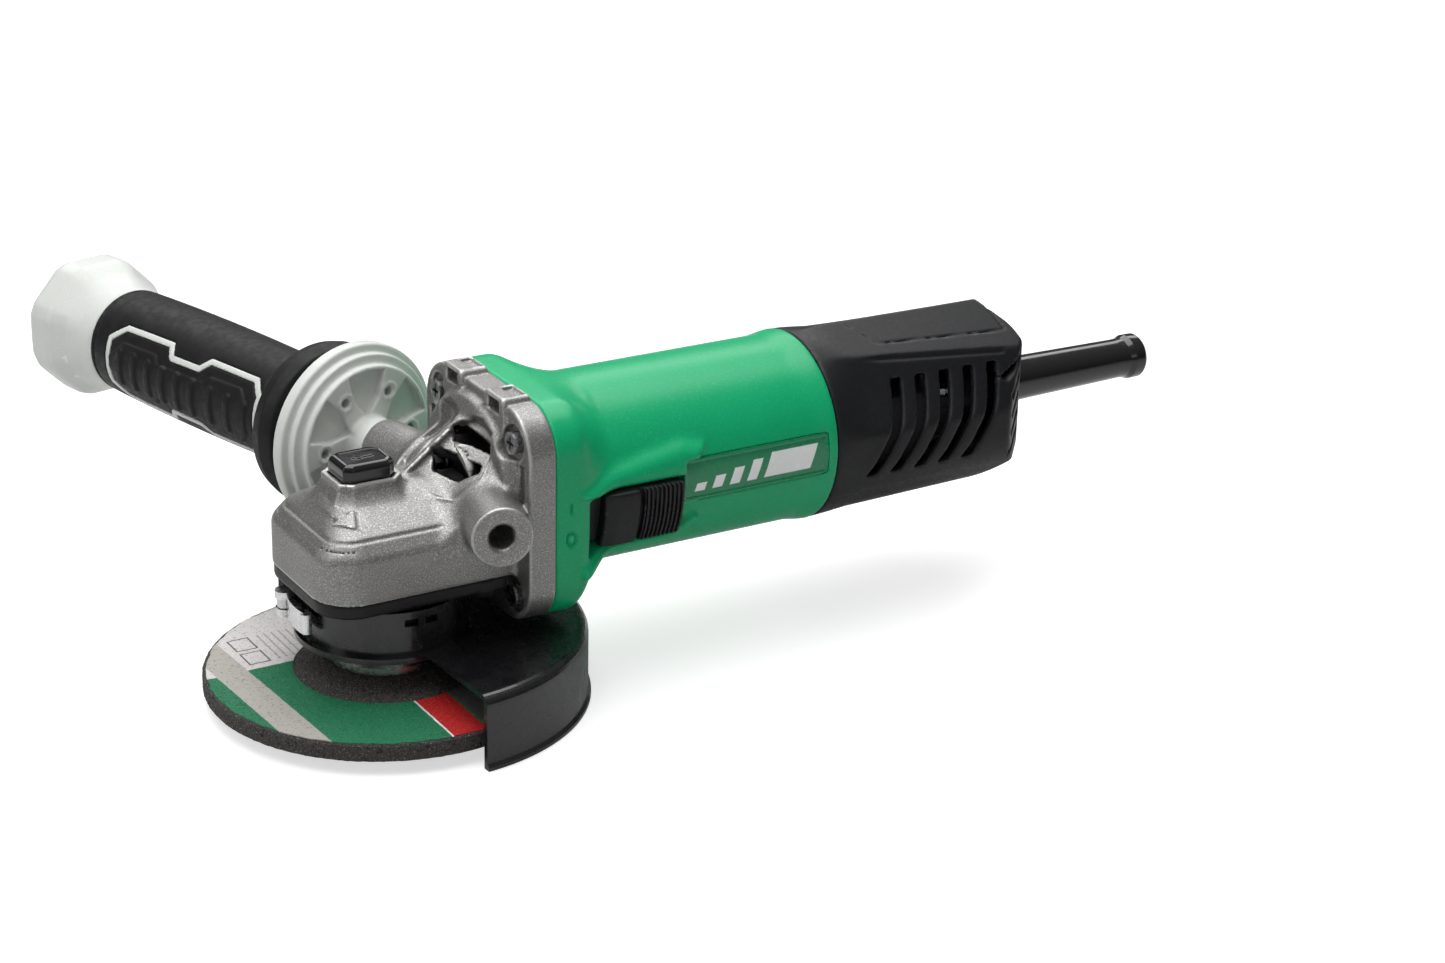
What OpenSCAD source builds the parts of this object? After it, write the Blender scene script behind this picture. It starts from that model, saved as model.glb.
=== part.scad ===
// Angle grinder with a 125 mm wheel, a slide switch and a soft side handle.
// The spindle stands on the Z axis, its thread starts at z = 0, and the motor lies along +X.

/* [Wheel and spindle] */
// Diameter of the grinding wheel
wheel_d = 125; // [115:1:150]
// Thickness of the grinding wheel
wheel_t = 6; // [4:0.5:8]
// Height by which the wheel's hub is raised above its rim
wheel_dish = 4.6; // [3:0.1:6]
// Diameter of the wheel's bore
wheel_bore_d = 22.23; // [20:0.01:25.4]
// Diameter of the spindle's thread
thread_d = 14; // [12:1:16]
// Length of thread that shows below the wheel nut
thread_free = 2.9; // [2:0.1:8]
// Diameter of the wheel nut and of the inner flange
flange_d = 40; // [36:1:44]

/* [Gear head] */
// Height of the motor axis above the start of the thread
motor_z = 69; // [66:1:90]
// Half width of the gear case
case_half_w = 29; // [27:0.5:36]
// Distance from the spindle axis to the front of the gear case
case_front = 33; // [31:0.5:40]
// Wall of the gear case
case_wall = 3; // [2.5:0.1:3.5]
// Number of teeth on the bevel gear
gear_teeth = 37; // [33:1:41]
// Number of teeth on the bevel pinion
pinion_teeth = 10; // [9:1:11]
// Module of the bevel gears at their large end
tooth_module = 1.2; // [1.1:0.05:1.25]
// Clearance radius of the threaded hole for the side handle
handle_hole_r = 4.25; // [4:0.05:5]

/* [Motor] */
// Diameter of the motor housing's grip tube
housing_d = 67.2; // [64:0.2:76]
// Length of the motor housing
housing_len = 114.4; // [112:0.2:140]
// Wall of the motor housing
housing_wall = 3; // [2.4:0.1:3.2]
// Diameter of the rotor's core
rotor_d = 33.6; // [30:0.2:36]
// Length of the rotor's core and of the stator's core
core_len = 44; // [38:1:46]
// Travel of the switch knob
switch_travel = 6; // [4:0.5:6]

/* [Tail and cord entry] */
// Length of the tail cover
tail_len = 88; // [80:1:110]
// Length of the cord guard outside the tail cover
cord_guard_len = 71; // [40:1:90]
// Radius of the hole for the cord
cord_hole_r = 4.1; // [3.5:0.1:5]

/* [Guard] */
// Gap between the wheel and the guard's skirt
guard_gap = 4.5; // [3:0.5:10]
// Thickness of the guard's sheet
guard_t = 2; // [1.5:0.1:2.5]
// Half of the angle that the guard covers
guard_half_angle = 87; // [60:1:100]

/* [Side handle] */
// Diameter of the handle's flange
disc_d = 68; // [60:1:76]
// Length of the grip
grip_len = 104; // [90:1:125]
// Diameter of the grip
grip_d = 40; // [34:1:42]
// Diameter of the end cap across its flats
cap_d = 54; // [48:1:60]
// Angle by which the handle leans forward from square
handle_lean = 14.2; // [0:0.1:16]

/* [Hidden] */

$fn = 64;
// A cut runs this far past the faces that it opens.
over = 1;
// Gap between pieces that are fitted together and stay together.
fit = 0.05;
// Radial gap between a turning piece and what it turns in.
run = 0.05;
// Gap between pieces that pass each other.
clear = 0.4;

// Heights on the spindle, counted up from the start of the thread.
nut_t = 5.5;
nut_top = thread_free + nut_t;
// The free thread ends in a relief groove just inside the nut.
relief_z = thread_free - 0.1;
hub_top = nut_top + wheel_t;
rim_bottom = nut_top - wheel_dish;
rim_top = rim_bottom + wheel_t;
inner_flange_t = 5;
seat_z = hub_top + inner_flange_t;
thread_r = thread_d / 2;
relief_t = 0.8;
relief_depth = 0.5;
tip_chamfer = 0.8;
journal_r = 6;
collar_r = 9;
top_journal_r = 4;
bearing_t = 10;
bearing_r = 16;
case_bottom = motor_z - 22;
case_side_h = 17;
case_shoulder_in = 5;
case_shoulder_up = 4.5;
chamber_h = 17.8;
case_corner = 14;
roof_front_x = -16;
roof_half_w = 15;
roof_top = 10;
neck_x = 4;
gland_t = 5;
gland_bottom = case_bottom - gland_t;
bearing_top = case_bottom - 4;
bearing_bottom = bearing_top - bearing_t;
nose_r = 25.5;
nose_bottom = gland_bottom - 17;
nose_hole_r = collar_r + clear;
seal_t = 3;
seal_r = 13;
seal_z = bearing_bottom - seal_t - 0.1;
gland_screw_r = 1.9;
gland_screw_depth = 2.3;
gland_screw_places = [[-22, -19], [-22, 19], [24, -24.5], [24, 24.5]];

// Ball bearings: radius of the ball circle and of the balls.
spindle_pitch_r = 11;
spindle_ball_r = 2.9;
front_pitch_r = 10;
front_ball_r = 2.7;
rear_pitch_r = 7.5;
rear_ball_r = 1.9;

// Bevel gears: both cones meet where the spindle axis crosses the motor axis.
gear_pitch_r = gear_teeth * tooth_module / 2;
pinion_pitch_r = pinion_teeth * tooth_module / 2;
cone_len = sqrt(pow(gear_pitch_r, 2) + pow(pinion_pitch_r, 2));
gear_pitch = atan(gear_teeth / pinion_teeth);
pinion_pitch = 90 - gear_pitch;
face_w = 7;
pressure = 20;
shift = 0.35;
backlash = 0.14;
nut_x = 11.4;
pinion_nut_t = 2.6;
pinion_nut_r = 4;
pinion_bore_r = 3;
gear_hub_r = 9;
gear_hub_top = 5.4;
lock_radius = 12;
lock_hole_r = 2.5;
lock_pin_r = 2;
lock_pin_end = -3.5;
lock_travel = 3.5;
pedestal_top = 12.5;
button_floor = 8.4;
button_h = 6.3;
button_base = pedestal_top - 0.3;
spring_floor = 3.5;
spring_pocket_r = 3.6;
top_bush_r = 6.5;

// Places along the motor axis.
flange_front = 35;
split_x = 45;
tube_r = housing_d / 2;
tube_in_r = tube_r - housing_wall;
housing_end = split_x + housing_len;
shaft_r = 4;
front_bearing_x = 27;
front_bearing_t = 9;
front_bearing_r = 15;
front_journal_r = 5;
cover_nose_r = 18;
cover_plate_r = 31;
fan_x = 47;
fan_t = 13;
fan_r = tube_in_r - 1.6;
core_x = 73;
core_end = core_x + core_len;
rotor_r = rotor_d / 2;
air_gap = 0.5;
coil_out = 6;
commutator_x = core_end + 12;
commutator_t = 13;
commutator_r = 10;
rear_bearing_t = 7;
rear_bearing_r = 11;
rear_bearing_x = housing_end - 14;
sleeve_t = 2;
web_x = rear_bearing_x - 2;
tail_end = housing_end + tail_len;
guard_end = tail_end + cord_guard_len;
cord_seat_r = 7.4;
tail_screw_r = 1.9;
tail_screw_z = 22;
clip_x = tail_end - 27;
clip_half = 4.5;
clip_y = 9.5;
clip_up = 2.5;
tail_wall = 2.6;
tail_top = 35.5;
tail_side = 33.8;
tail_drop = 29;

// Flange between the gear case and the housing.
flange_half_w = 39;
flange_up = 36;
flange_down = 40;
flange_corner = 16;
case_screw_y = 28;
case_screw_up = 25;
case_screw_down = -30;
case_screw_r = 2.4;

// Switch, seen in a frame that is turned about the motor axis.
switch_tilt = 12;
knob_x = 65;
knob_len = 30.5;
knob_half_w = 10.5;
knob_top = tube_r + 3.9;
pocket_floor = tube_r - 1.6;
bar_y = tube_in_r - 2.4;
bar_t = 1.8;
bar_half_w = 3.5;
bar_end = housing_end + 12;

// Wheel guard.
skirt_in_r = wheel_d / 2 + guard_gap;
skirt_r = skirt_in_r + guard_t;
collar_in_r = nose_r + clear;
collar_out_r = collar_in_r + guard_t + 0.4;
plate_top = nose_bottom + 0.5;
plate_bottom = plate_top - guard_t;
collar_top = gland_bottom - 1.2;
skirt_bottom = rim_bottom - 4.8;
lip_r = collar_out_r + 2.8;
index_slots = [-170, -97, -82];
clamp_angle = 140;
clamp_r = collar_out_r + 4;
clamp_z = (collar_top + plate_top) / 2 + 0.6;
clamp_screw_r = 1.5;
ear_t = 4;
ear_out = 5;
pin_y = ear_out + 4;
eye_r = 2.8;
eye_t = 3;
lever_pin_r = 1.2;
knuckle_r = 3.4;
knuckle_h = 9;
lever_t = 2.4;
lever_in_r = collar_out_r + 2.4;
lever_start = clamp_angle + asin(pin_y / clamp_r);
lever_sweep = 34;

// Side handle, along an axis that leaves the motor axis at cross_x.
cross_x = 33;
boss_r = 10.5;
boss_face = 47.1;
disc_s = boss_face + 14.1;
disc_t = 5;
flange_step = 3;
plateau_s = disc_s - 2 * flange_step;
plateau_r = 28;
flange_hub_r = 9.7;
flange_screw_ring = 19;
boot_s = disc_s + disc_t;
boot_len = 26;
boot_r = 27;
grip_s = boot_s + boot_len + 1.5;
grip_end_s = grip_s + grip_len;
cap_len = 40;
core_r = grip_d / 2 - 4;
bolt_r = 4.15;
hole_depth = 18;
bolt_depth = 15;
flex_s = boot_s + boot_len / 2;

// Inner pieces.
label_x = 97;
label_len = 59;
label_half_h = 7.6;
label_z = 1;
stator_r = tube_in_r - 0.3;
stator_flat = bar_y - clear - 0.3;
pole_in_r = rotor_r + air_gap;
brush_y = commutator_r + 0.6;
switch_body_x = bar_end + 4;
hub_r = 22;
cone_r = 31;
slot_count = 12;
pin_seat = 2.5;

// ---------------------------------------------------------------- shared shapes

// Rod along +X on the motor axis.
module rod_x(x0, x1, r) {
    translate([x0, 0, motor_z]) rotate([0, 90, 0]) cylinder(h = x1 - x0, r = r);
}

module ring_x(x0, x1, r_out, r_in) {
    difference() {
        rod_x(x0, x1, r_out);
        rod_x(x0 - over, x1 + over, r_in);
    }
}

module ring_z(z0, z1, r_out, r_in) {
    difference() {
        translate([0, 0, z0]) cylinder(h = z1 - z0, r = r_out);
        translate([0, 0, z0 - over]) cylinder(h = z1 - z0 + 2 * over, r = r_in);
    }
}

// Points of a rectangle from a to b whose corners are arcs of radius r.
function round_points(a, b, r, steps = 8) = [
    for (corner = [[b[0] - r, b[1] - r, 0], [a[0] + r, b[1] - r, 90],
                   [a[0] + r, a[1] + r, 180], [b[0] - r, a[1] + r, 270]])
        for (i = [0 : steps])
            [corner[0] + r * cos(corner[2] + 90 * i / steps),
             corner[1] + r * sin(corner[2] + 90 * i / steps)]];

// Rounded plate that faces +X: y runs across and z runs up from the motor axis.
module plate_x(x0, x1, half_w, down, up, r) {
    translate([x0, 0, motor_z]) rotate([90, 0, 90]) linear_extrude(height = x1 - x0)
        polygon(round_points([-half_w, -down], [half_w, up], r));
}

// Frame of the side handle: local +Z runs outwards along the handle.
module handle_frame(s, side = 1) {
    translate([cross_x, 0, motor_z]) rotate([-90 * side, 0, side * handle_lean])
        translate([0, 0, s]) children();
}

// Frame of the switch: local -Y points straight out through the knob.
module switch_frame() {
    translate([0, 0, motor_z]) rotate([switch_tilt, 0, 0]) children();
}

// Cross-recessed screw along +Z with its head's underside at z = 0 and its shank below.
module cross_screw(shank_r, length, head_r, head_h) {
    difference() {
        cylinder(h = head_h, r = head_r);
        for (turn = [0, 90])
            rotate([0, 0, turn]) translate([-head_r * 0.6, -0.5, head_h / 2])
                cube([head_r * 1.2, 1, head_h]);
    }
    translate([0, 0, -length]) cylinder(h = length, r = shank_r);
}

// One ball ring for a bearing that stands on the local XY plane.
module ball_ring(pitch_r, ball_r, count) {
    for (i = [0 : count - 1])
        rotate([0, 0, 360 * i / count]) translate([pitch_r, 0, 0]) sphere(r = ball_r, $fn = 24);
}

// Outer and inner race of a deep-groove bearing with its middle at z = 0.
module outer_race(r_out, pitch_r, ball_r, t) {
    difference() {
        translate([0, 0, -t / 2]) cylinder(h = t, r = r_out);
        translate([0, 0, -t / 2 - over]) cylinder(h = t + 2 * over, r = pitch_r + ball_r * 0.6);
        rotate_extrude() translate([pitch_r, 0]) circle(r = ball_r + 0.06, $fn = 32);
    }
}

module inner_race(r_in, pitch_r, ball_r, t) {
    difference() {
        translate([0, 0, -t / 2]) cylinder(h = t, r = pitch_r - ball_r * 0.6);
        translate([0, 0, -t / 2 - over]) cylinder(h = t + 2 * over, r = r_in);
        rotate_extrude() translate([pitch_r, 0]) circle(r = ball_r + 0.06, $fn = 32);
    }
}

// ---------------------------------------------------------------- bevel teeth

// Unrolled angle of a spherical involute at polar angle th on the base cone.
function involute(th, base) = th <= base ? 0 :
    let (roll = acos(cos(th) / cos(base))) roll / sin(base) - atan(tan(roll) / sin(base));

function base_angle(pitch) = asin(sin(pitch) * cos(pressure));

function on_sphere(r, th, az) = r * [sin(th) * cos(az), sin(th) * sin(az), cos(th)];

// Half of a tooth's angle at polar angle th, with half_pitch on the pitch cone.
function half_tooth(th, pitch, half_pitch) =
    half_pitch + involute(pitch, base_angle(pitch)) - involute(th, base_angle(pitch));

// Closed outline of all teeth as pairs of polar angle and azimuth.
function tooth_outline(teeth, phase, pitch, add, ded, half_pitch, steps = 4) = [
    for (i = [0 : teeth - 1])
        for (k = [0 : 2 * steps + 1])
            let (up = k <= steps ? k / steps : (2 * steps + 1 - k) / steps,
                 th = pitch - ded + up * (add + ded),
                 half = half_tooth(th, pitch, half_pitch),
                 sign = k <= steps ? -1 : 1)
            [th, (i + phase) * 360 / teeth + sign * half]];

// Teeth between two spheres, closed by a cone to the axis at each end.
module bevel_teeth(outline, back_z, front_z) {
    n = len(outline);
    outer = [for (p = outline) on_sphere(cone_len, p[0], p[1])];
    inner = [for (p = outline) on_sphere(cone_len - face_w, p[0], p[1])];
    polyhedron(
        points = concat(outer, inner, [[0, 0, back_z], [0, 0, front_z]]),
        faces = concat(
            [for (i = [0 : n - 1]) [i, (i + 1) % n, n + (i + 1) % n]],
            [for (i = [0 : n - 1]) [i, n + (i + 1) % n, n + i]],
            [for (i = [0 : n - 1]) [(i + 1) % n, i, 2 * n]],
            [for (i = [0 : n - 1]) [n + i, n + (i + 1) % n, 2 * n + 1]]));
}

function tooth_angle(height) = atan(height / cone_len);

// ---------------------------------------------------------------- gear head

function case_corner_point(a, side, inset) =
    [-case_front + case_corner + (case_corner - inset) * cos(a),
     side * (case_half_w - case_corner) + (case_corner - inset) * sin(a)];

module case_outline(inset) {
    polygon(concat(
        [[flange_front + over, -case_half_w + inset], [flange_front + over, case_half_w - inset]],
        [for (a = [90 : 10 : 180]) case_corner_point(a, 1, inset)],
        [for (a = [180 : 10 : 270]) case_corner_point(a, -1, inset)]));
}

module gear_case() {
    color("silver") difference() {
        union() {
            translate([0, 0, case_bottom]) linear_extrude(height = case_side_h) case_outline(0);
            hull() {
                translate([0, 0, case_bottom + case_side_h - 0.1]) linear_extrude(height = 0.1)
                    case_outline(0.3);
                translate([0, 0, case_bottom + case_side_h + case_shoulder_up])
                    linear_extrude(height = 0.1) case_outline(case_shoulder_in);
                translate([roof_front_x, -roof_half_w, motor_z + roof_top - 0.1])
                    cube([flange_front - roof_front_x, 2 * roof_half_w, 0.1]);
            }
            hull() {
                plate_x(flange_front, flange_front + 0.1, 33, 22, 33, 14);
                translate([neck_x, -11, motor_z + roof_top - 3]) cube([0.1, 22, 4]);
            }
            plate_x(flange_front, split_x, flange_half_w, flange_down, flange_up, flange_corner);
            for (side = [-1, 1])
                handle_frame(20, side) cylinder(h = boss_face - 20, r = boss_r);
            lock_pedestal();
            for (y = [-10, 14])
                translate([flange_front + 1, y - 5, motor_z + flange_up - 3]) cube([8, 10, 5.2]);
        }
        case_hollows();
        case_windows();
    }
}

// Outline of the lock button, grown by a margin.
module button_outline(margin) {
    polygon([[-17 - margin, -6 - margin / 2], [-14 - margin / 2, -8 - margin], [-1 + margin / 2, -8 - margin],
             [2 + margin, -5 - margin / 2], [2 + margin, 5 + margin / 2], [-1 + margin / 2, 8 + margin],
             [-14 - margin / 2, 8 + margin], [-17 - margin, 6 + margin / 2]]);
}

module lock_pedestal() {
    translate([0, 0, motor_z + 2]) linear_extrude(height = pedestal_top - 2) button_outline(2.2);
}

module case_hollows() {
    // Chamber of the large gear, open to the packing gland.
    translate([0, 0, case_bottom - over]) linear_extrude(height = chamber_h + over) difference() {
        case_outline(case_wall);
        translate([gear_pitch_r + 4.2, -60]) square([60, 120]);
    }
    translate([0, 0, case_bottom]) cylinder(h = chamber_h + 2.7, r = 20);
    // Tunnel of the pinion and seat of the inner cover's nose.
    rod_x(9.2, 30, 9.5);
    rod_x(24.6, split_x + over, cover_nose_r + fit);
    // Recess of the inner cover's plate.
    rod_x(39, split_x + over, cover_plate_r + fit);
    // Air way around the nose, up to the exhaust windows.
    difference() {
        hull() {
            rod_x(38.9, 39.1, cover_plate_r - 2);
            translate([13, -8, motor_z + 11]) cube([1, 16, 2]);
        }
        rod_x(0, split_x, cover_nose_r + case_wall);
        translate([0, -60, motor_z - 60]) cube([60, 120, 60]);
    }
    // Seat of the top bush, hole of the lock pin and pocket of its spring.
    translate([0, 0, motor_z - 3]) cylinder(h = 8, r = top_bush_r + fit);
    translate([-lock_radius, 0, motor_z - 10]) cylinder(h = 40, r = lock_pin_r + run);
    translate([-lock_radius, 0, motor_z + spring_floor]) cylinder(h = 10, r = spring_pocket_r);
    translate([0, 0, motor_z + button_floor]) linear_extrude(height = 20) button_outline(clear);
    for (y = [-case_screw_y, case_screw_y]) {
        for (z = [case_screw_up, case_screw_down])
            translate([flange_front - 30, y, motor_z + z]) rotate([0, 90, 0])
                cylinder(h = 60, r = case_screw_r + fit);
        for (z = [case_screw_up, case_screw_down])
            translate([flange_front - 20, y, motor_z + z]) rotate([0, 90, 0])
                cylinder(h = 21.5, r = 4.6);
    }
    for (side = [-1, 1])
        handle_frame(boss_face - hole_depth, side)
            cylinder(h = hole_depth + over, r = handle_hole_r);
    for (p = gland_screw_places)
        translate([p[0], p[1], case_bottom - over]) cylinder(h = 12 + over, r = gland_screw_r);
}

// Two exhaust windows on each flank of the neck.
module case_windows() {
    for (side = [-1, 1]) {
        translate([24, side * 22, motor_z + 22]) rotate([side * 42, -36, 0])
            cube([11, 13, 5], center = true);
        translate([16, side * 20, motor_z + 13.5]) rotate([side * 42, -36, 0])
            cube([11, 15, 5], center = true);
    }
}

module gear_case_screws() {
    color("dimgray") for (y = [-case_screw_y, case_screw_y])
        for (z = [case_screw_up, case_screw_down])
            translate([flange_front + 1.5, y, motor_z + z]) rotate([0, -90, 0])
                cross_screw(case_screw_r, 22, 3.9, 3.2);
}

module packing_gland() {
    color("#202020") difference() {
        union() {
            translate([0, 0, gland_bottom]) linear_extrude(height = gland_t) difference() {
                case_outline(0.4);
                translate([flange_front - 3, -60]) square([60, 120]);
            }
            translate([0, 0, nose_bottom]) cylinder(h = gland_bottom - nose_bottom + over, r = nose_r);
        }
        translate([0, 0, bearing_bottom]) cylinder(h = 40, r = bearing_r + fit);
        translate([0, 0, nose_bottom - over]) cylinder(h = 40, r = nose_hole_r);
        translate([0, 0, seal_z]) cylinder(h = seal_t + 0.1, r = seal_r + fit);
        for (p = gland_screw_places) {
            translate([p[0], p[1], gland_bottom - over]) cylinder(h = 10, r = gland_screw_r + fit);
            translate([p[0], p[1], gland_bottom - over]) cylinder(h = gland_screw_depth + over, r = 3.4);
        }
    }
}

module gland_screws() {
    color("dimgray") for (p = gland_screw_places)
        translate([p[0], p[1], gland_bottom + gland_screw_depth]) rotate([180, 0, 0])
            cross_screw(gland_screw_r - fit, 12, 3.2, 2.2);
}

module bearing_retainer() {
    color("gray") ring_z(bearing_top, bearing_top + 2.5, bearing_r, gear_hub_r + 1.6);
}

module dust_seal() {
    color("#151515") ring_z(seal_z, seal_z + seal_t, seal_r, collar_r + run);
}

module spindle_bearing_outer() {
    color("lightsteelblue") translate([0, 0, bearing_bottom + bearing_t / 2])
        outer_race(bearing_r, spindle_pitch_r, spindle_ball_r, bearing_t);
}

module bearing_balls() {
    color("white") {
        translate([0, 0, bearing_bottom + bearing_t / 2])
            ball_ring(spindle_pitch_r, spindle_ball_r, 8);
        translate([front_bearing_x + front_bearing_t / 2, 0, motor_z]) rotate([0, 90, 0])
            ball_ring(front_pitch_r, front_ball_r, 8);
        translate([rear_bearing_x + rear_bearing_t / 2, 0, motor_z]) rotate([0, 90, 0])
            ball_ring(rear_pitch_r, rear_ball_r, 8);
    }
}

module top_bush() {
    color("darkgoldenrod") ring_z(motor_z - 3, motor_z + 4.9, top_bush_r, top_journal_r + run);
}

module inner_cover() {
    color("lightgray") difference() {
        union() {
            rod_x(front_bearing_x - 2.2, split_x, cover_nose_r);
            rod_x(39, split_x, cover_plate_r);
        }
        rod_x(front_bearing_x - 10, split_x + over, 11);
        rod_x(front_bearing_x, split_x + over, front_bearing_r + fit);
        for (i = [0 : 11])
            translate([35, 0, motor_z]) rotate([30 * i + 15, 0, 0]) translate([0, 24.5, 0])
                rotate([0, 90, 0]) cylinder(h = 20, r = 4.2);
    }
}

module front_bearing_outer() {
    color("lightsteelblue") translate([front_bearing_x + front_bearing_t / 2, 0, motor_z])
        rotate([0, 90, 0]) outer_race(front_bearing_r, front_pitch_r, front_ball_r, front_bearing_t);
}

// ---------------------------------------------------------------- motor housing

module motor_housing() {
    color("mediumseagreen") difference() {
        union() {
            rod_x(split_x, housing_end, tube_r);
            plate_x(split_x, split_x + 9, flange_half_w, flange_down, flange_up, flange_corner);
            hull() {
                plate_x(split_x + 8.9, split_x + 9, flange_half_w, flange_down, flange_up, 16);
                rod_x(split_x + 25, split_x + 26, tube_r);
            }
            translate([housing_end - 9, 0, motor_z]) rotate([0, 90, 0])
                cylinder(h = 9, r1 = tube_r, r2 = tube_r + 1.2);
            switch_ridges();
        }
        rod_x(split_x - over, web_x, tube_in_r);
        rod_x(web_x - over, web_x + 40, rear_bearing_r + sleeve_t + fit);
        ring_x(web_x + 3, housing_end + over, tube_in_r, rear_bearing_r + sleeve_t + 3.5);
        rod_x(housing_end - 3, housing_end + over, tube_in_r);
        web_windows();
        switch_openings();
        label_recess();
        for (y = [-case_screw_y, case_screw_y])
            for (z = [case_screw_up, case_screw_down])
                translate([split_x - over, y, motor_z + z]) rotate([0, 90, 0])
                    cylinder(h = 16, r = case_screw_r + fit);
    }
}

// Two ridges that flank the knob and run back along the grip.
module switch_ridges() {
    switch_frame() for (side = [-1, 1])
        hull() {
            translate([knob_x - 5, -tube_r + 1.5, side * (knob_half_w + 2.7)]) sphere(r = 2, $fn = 16);
            translate([knob_x + 18, -tube_r + 0.8, side * (knob_half_w + 3)]) sphere(r = 3.4, $fn = 16);
            translate([knob_x + knob_len + 6, -tube_r + 2, side * (knob_half_w - 1)])
                sphere(r = 1.4, $fn = 16);
        }
}

module switch_openings() {
    switch_frame() {
        translate([knob_x - switch_travel - clear, -60, -knob_half_w - clear])
            cube([knob_len + switch_travel + 2 * clear, 60 - pocket_floor, 2 * (knob_half_w + clear)]);
        translate([knob_x - switch_travel + 2, -60, -bar_half_w - clear])
            cube([knob_len - 2, 40, 2 * (bar_half_w + clear)]);
        bar_way(web_x - over, housing_end + over);
    }
}

// Way of the slide bar through a wall that stands across it.
module bar_way(x0, x1) {
    translate([x0, -bar_y - bar_t - clear, -bar_half_w - clear])
        cube([x1 - x0, bar_t + 2 * clear, 2 * (bar_half_w + clear)]);
}

// Air windows in the web that carries the rear bearing.
module web_windows() {
    for (i = [0 : 7])
        translate([web_x - over, 0, motor_z]) rotate([45 * i + 22.5, 0, 0])
            translate([0, tube_in_r - 8, 0]) rotate([0, 90, 0]) cylinder(h = 8, r = 4.5);
}

module label_recess() {
    difference() {
        translate([label_x, -60, motor_z + label_z - label_half_h])
            cube([label_len, 60, 2 * label_half_h]);
        rod_x(label_x - over, label_x + label_len + over, tube_r - 0.6);
    }
}

module name_plate() {
    color("#e8e8e8") intersection() {
        ring_x(label_x, label_x + label_len, tube_r - 0.25, tube_r - 0.6 + fit);
        translate([label_x + fit, -60, motor_z + label_z - label_half_h + fit])
            cube([label_len - 2 * fit, 60, 2 * (label_half_h - fit)]);
    }
}

module fan_guide() {
    color("#303030") difference() {
        ring_x(fan_x + fan_t + 1.5, fan_x + fan_t + 4, tube_in_r - fit, 20);
        rod_x(fan_x + fan_t, fan_x + fan_t + 2.5, 21.5);
        switch_frame() translate([fan_x, -tube_in_r - over, -bar_half_w - clear])
            cube([30, over + tube_in_r - bar_y + clear, 2 * (bar_half_w + clear)]);
    }
}

module stator_core() {
    color("slategray") difference() {
        intersection() {
            rod_x(core_x, core_end, stator_r);
            switch_frame() translate([0, -stator_flat, -60]) cube([400, 2 * stator_flat, 120]);
        }
        rod_x(core_x - over, core_end + over, pole_in_r);
        for (side = [0, 180])
            switch_frame() rotate([side, 0, 0]) coil_slots(core_x - over, core_end + over);
        for (side = [-1, 1])
            switch_frame() translate([core_x - over, 0, side * (stator_r - 3)]) rotate([0, 90, 0])
                cylinder(h = core_len + 2 * over, r = 1.8);
    }
}

// Slots beside one pole of the stator, which the field coil fills.
module coil_slots(x0, x1) {
    for (side = [-1, 1])
        translate([x0, side * 18.5 - 2.6, 4]) cube([x1 - x0, 5.2, 8]);
}

module stator_coils() {
    color("#a0522d") switch_frame() for (side = [0, 180])
        rotate([side, 0, 0]) difference() {
            translate([core_x - coil_out, -21, 4.1]) cube([core_len + 2 * coil_out, 42, 7.8]);
            translate([core_x, -16, 0]) cube([core_len, 32, 20]);
            translate([core_x - coil_out - over, 0, 0]) rotate([0, 90, 0])
                cylinder(h = core_len + 2 * coil_out + 2 * over, r = pole_in_r);
            for (s = [-1, 1])
                translate([core_x, s * 21 - (s > 0 ? 0.1 : 0), 0]) cube([core_len, 0.1, 20]);
        }
}

module stator_screws() {
    color("dimgray") switch_frame() for (side = [-1, 1])
        translate([core_x, 0, side * (stator_r - 3)]) rotate([0, -90, 0])
            translate([0, 0, 0.1]) cross_screw(1.7, core_len + 6, 2.8, 2);
}

brush_half = 3;

module brush_holders() {
    color("darkgoldenrod") for (side = [0, 180])
        translate([0, 0, motor_z]) rotate([side, 0, 0]) difference() {
            translate([commutator_x + 1.5, brush_y + 1.6, -4.6]) cube([10, 15, 9.2]);
            translate([commutator_x + 6.5 - brush_half - fit, brush_y, -brush_half - fit])
                cube([2 * (brush_half + fit), 15, 2 * (brush_half + fit)]);
        }
}

module carbon_brushes() {
    color("#252525") for (side = [0, 180])
        translate([0, 0, motor_z]) rotate([side, 0, 0]) difference() {
            translate([commutator_x + 6.5 - brush_half, commutator_r - 2, -brush_half])
                cube([2 * brush_half, 10, 2 * brush_half]);
            translate([commutator_x - 10, 0, 0]) rotate([0, 90, 0])
                cylinder(h = 40, r = commutator_r + run);
        }
}

module brush_springs() {
    color("silver") for (side = [0, 180])
        translate([0, 0, motor_z]) rotate([side, 0, 0])
            translate([commutator_x + 6.5, commutator_r + 8.1, 0]) rotate([-90, 0, 0])
                coil_spring(2.2, 0.45, 7.4, 4);
}

// Coil spring as stacked rings joined by short posts, standing on z = 0.
module coil_spring(r, wire_r, length, turns) {
    step = (length - 2 * wire_r) / turns;
    for (i = [0 : turns])
        translate([0, 0, wire_r + i * step]) rotate_extrude() translate([r, 0])
            circle(r = wire_r, $fn = 16);
    for (i = [0 : turns - 1])
        rotate([0, 0, 180 * i]) translate([r, 0, wire_r + i * step])
            cylinder(h = step, r = wire_r * 0.8, $fn = 16);
}

module rear_bearing_outer() {
    color("lightsteelblue") translate([rear_bearing_x + rear_bearing_t / 2, 0, motor_z])
        rotate([0, 90, 0]) outer_race(rear_bearing_r, rear_pitch_r, rear_ball_r, rear_bearing_t);
}

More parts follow.
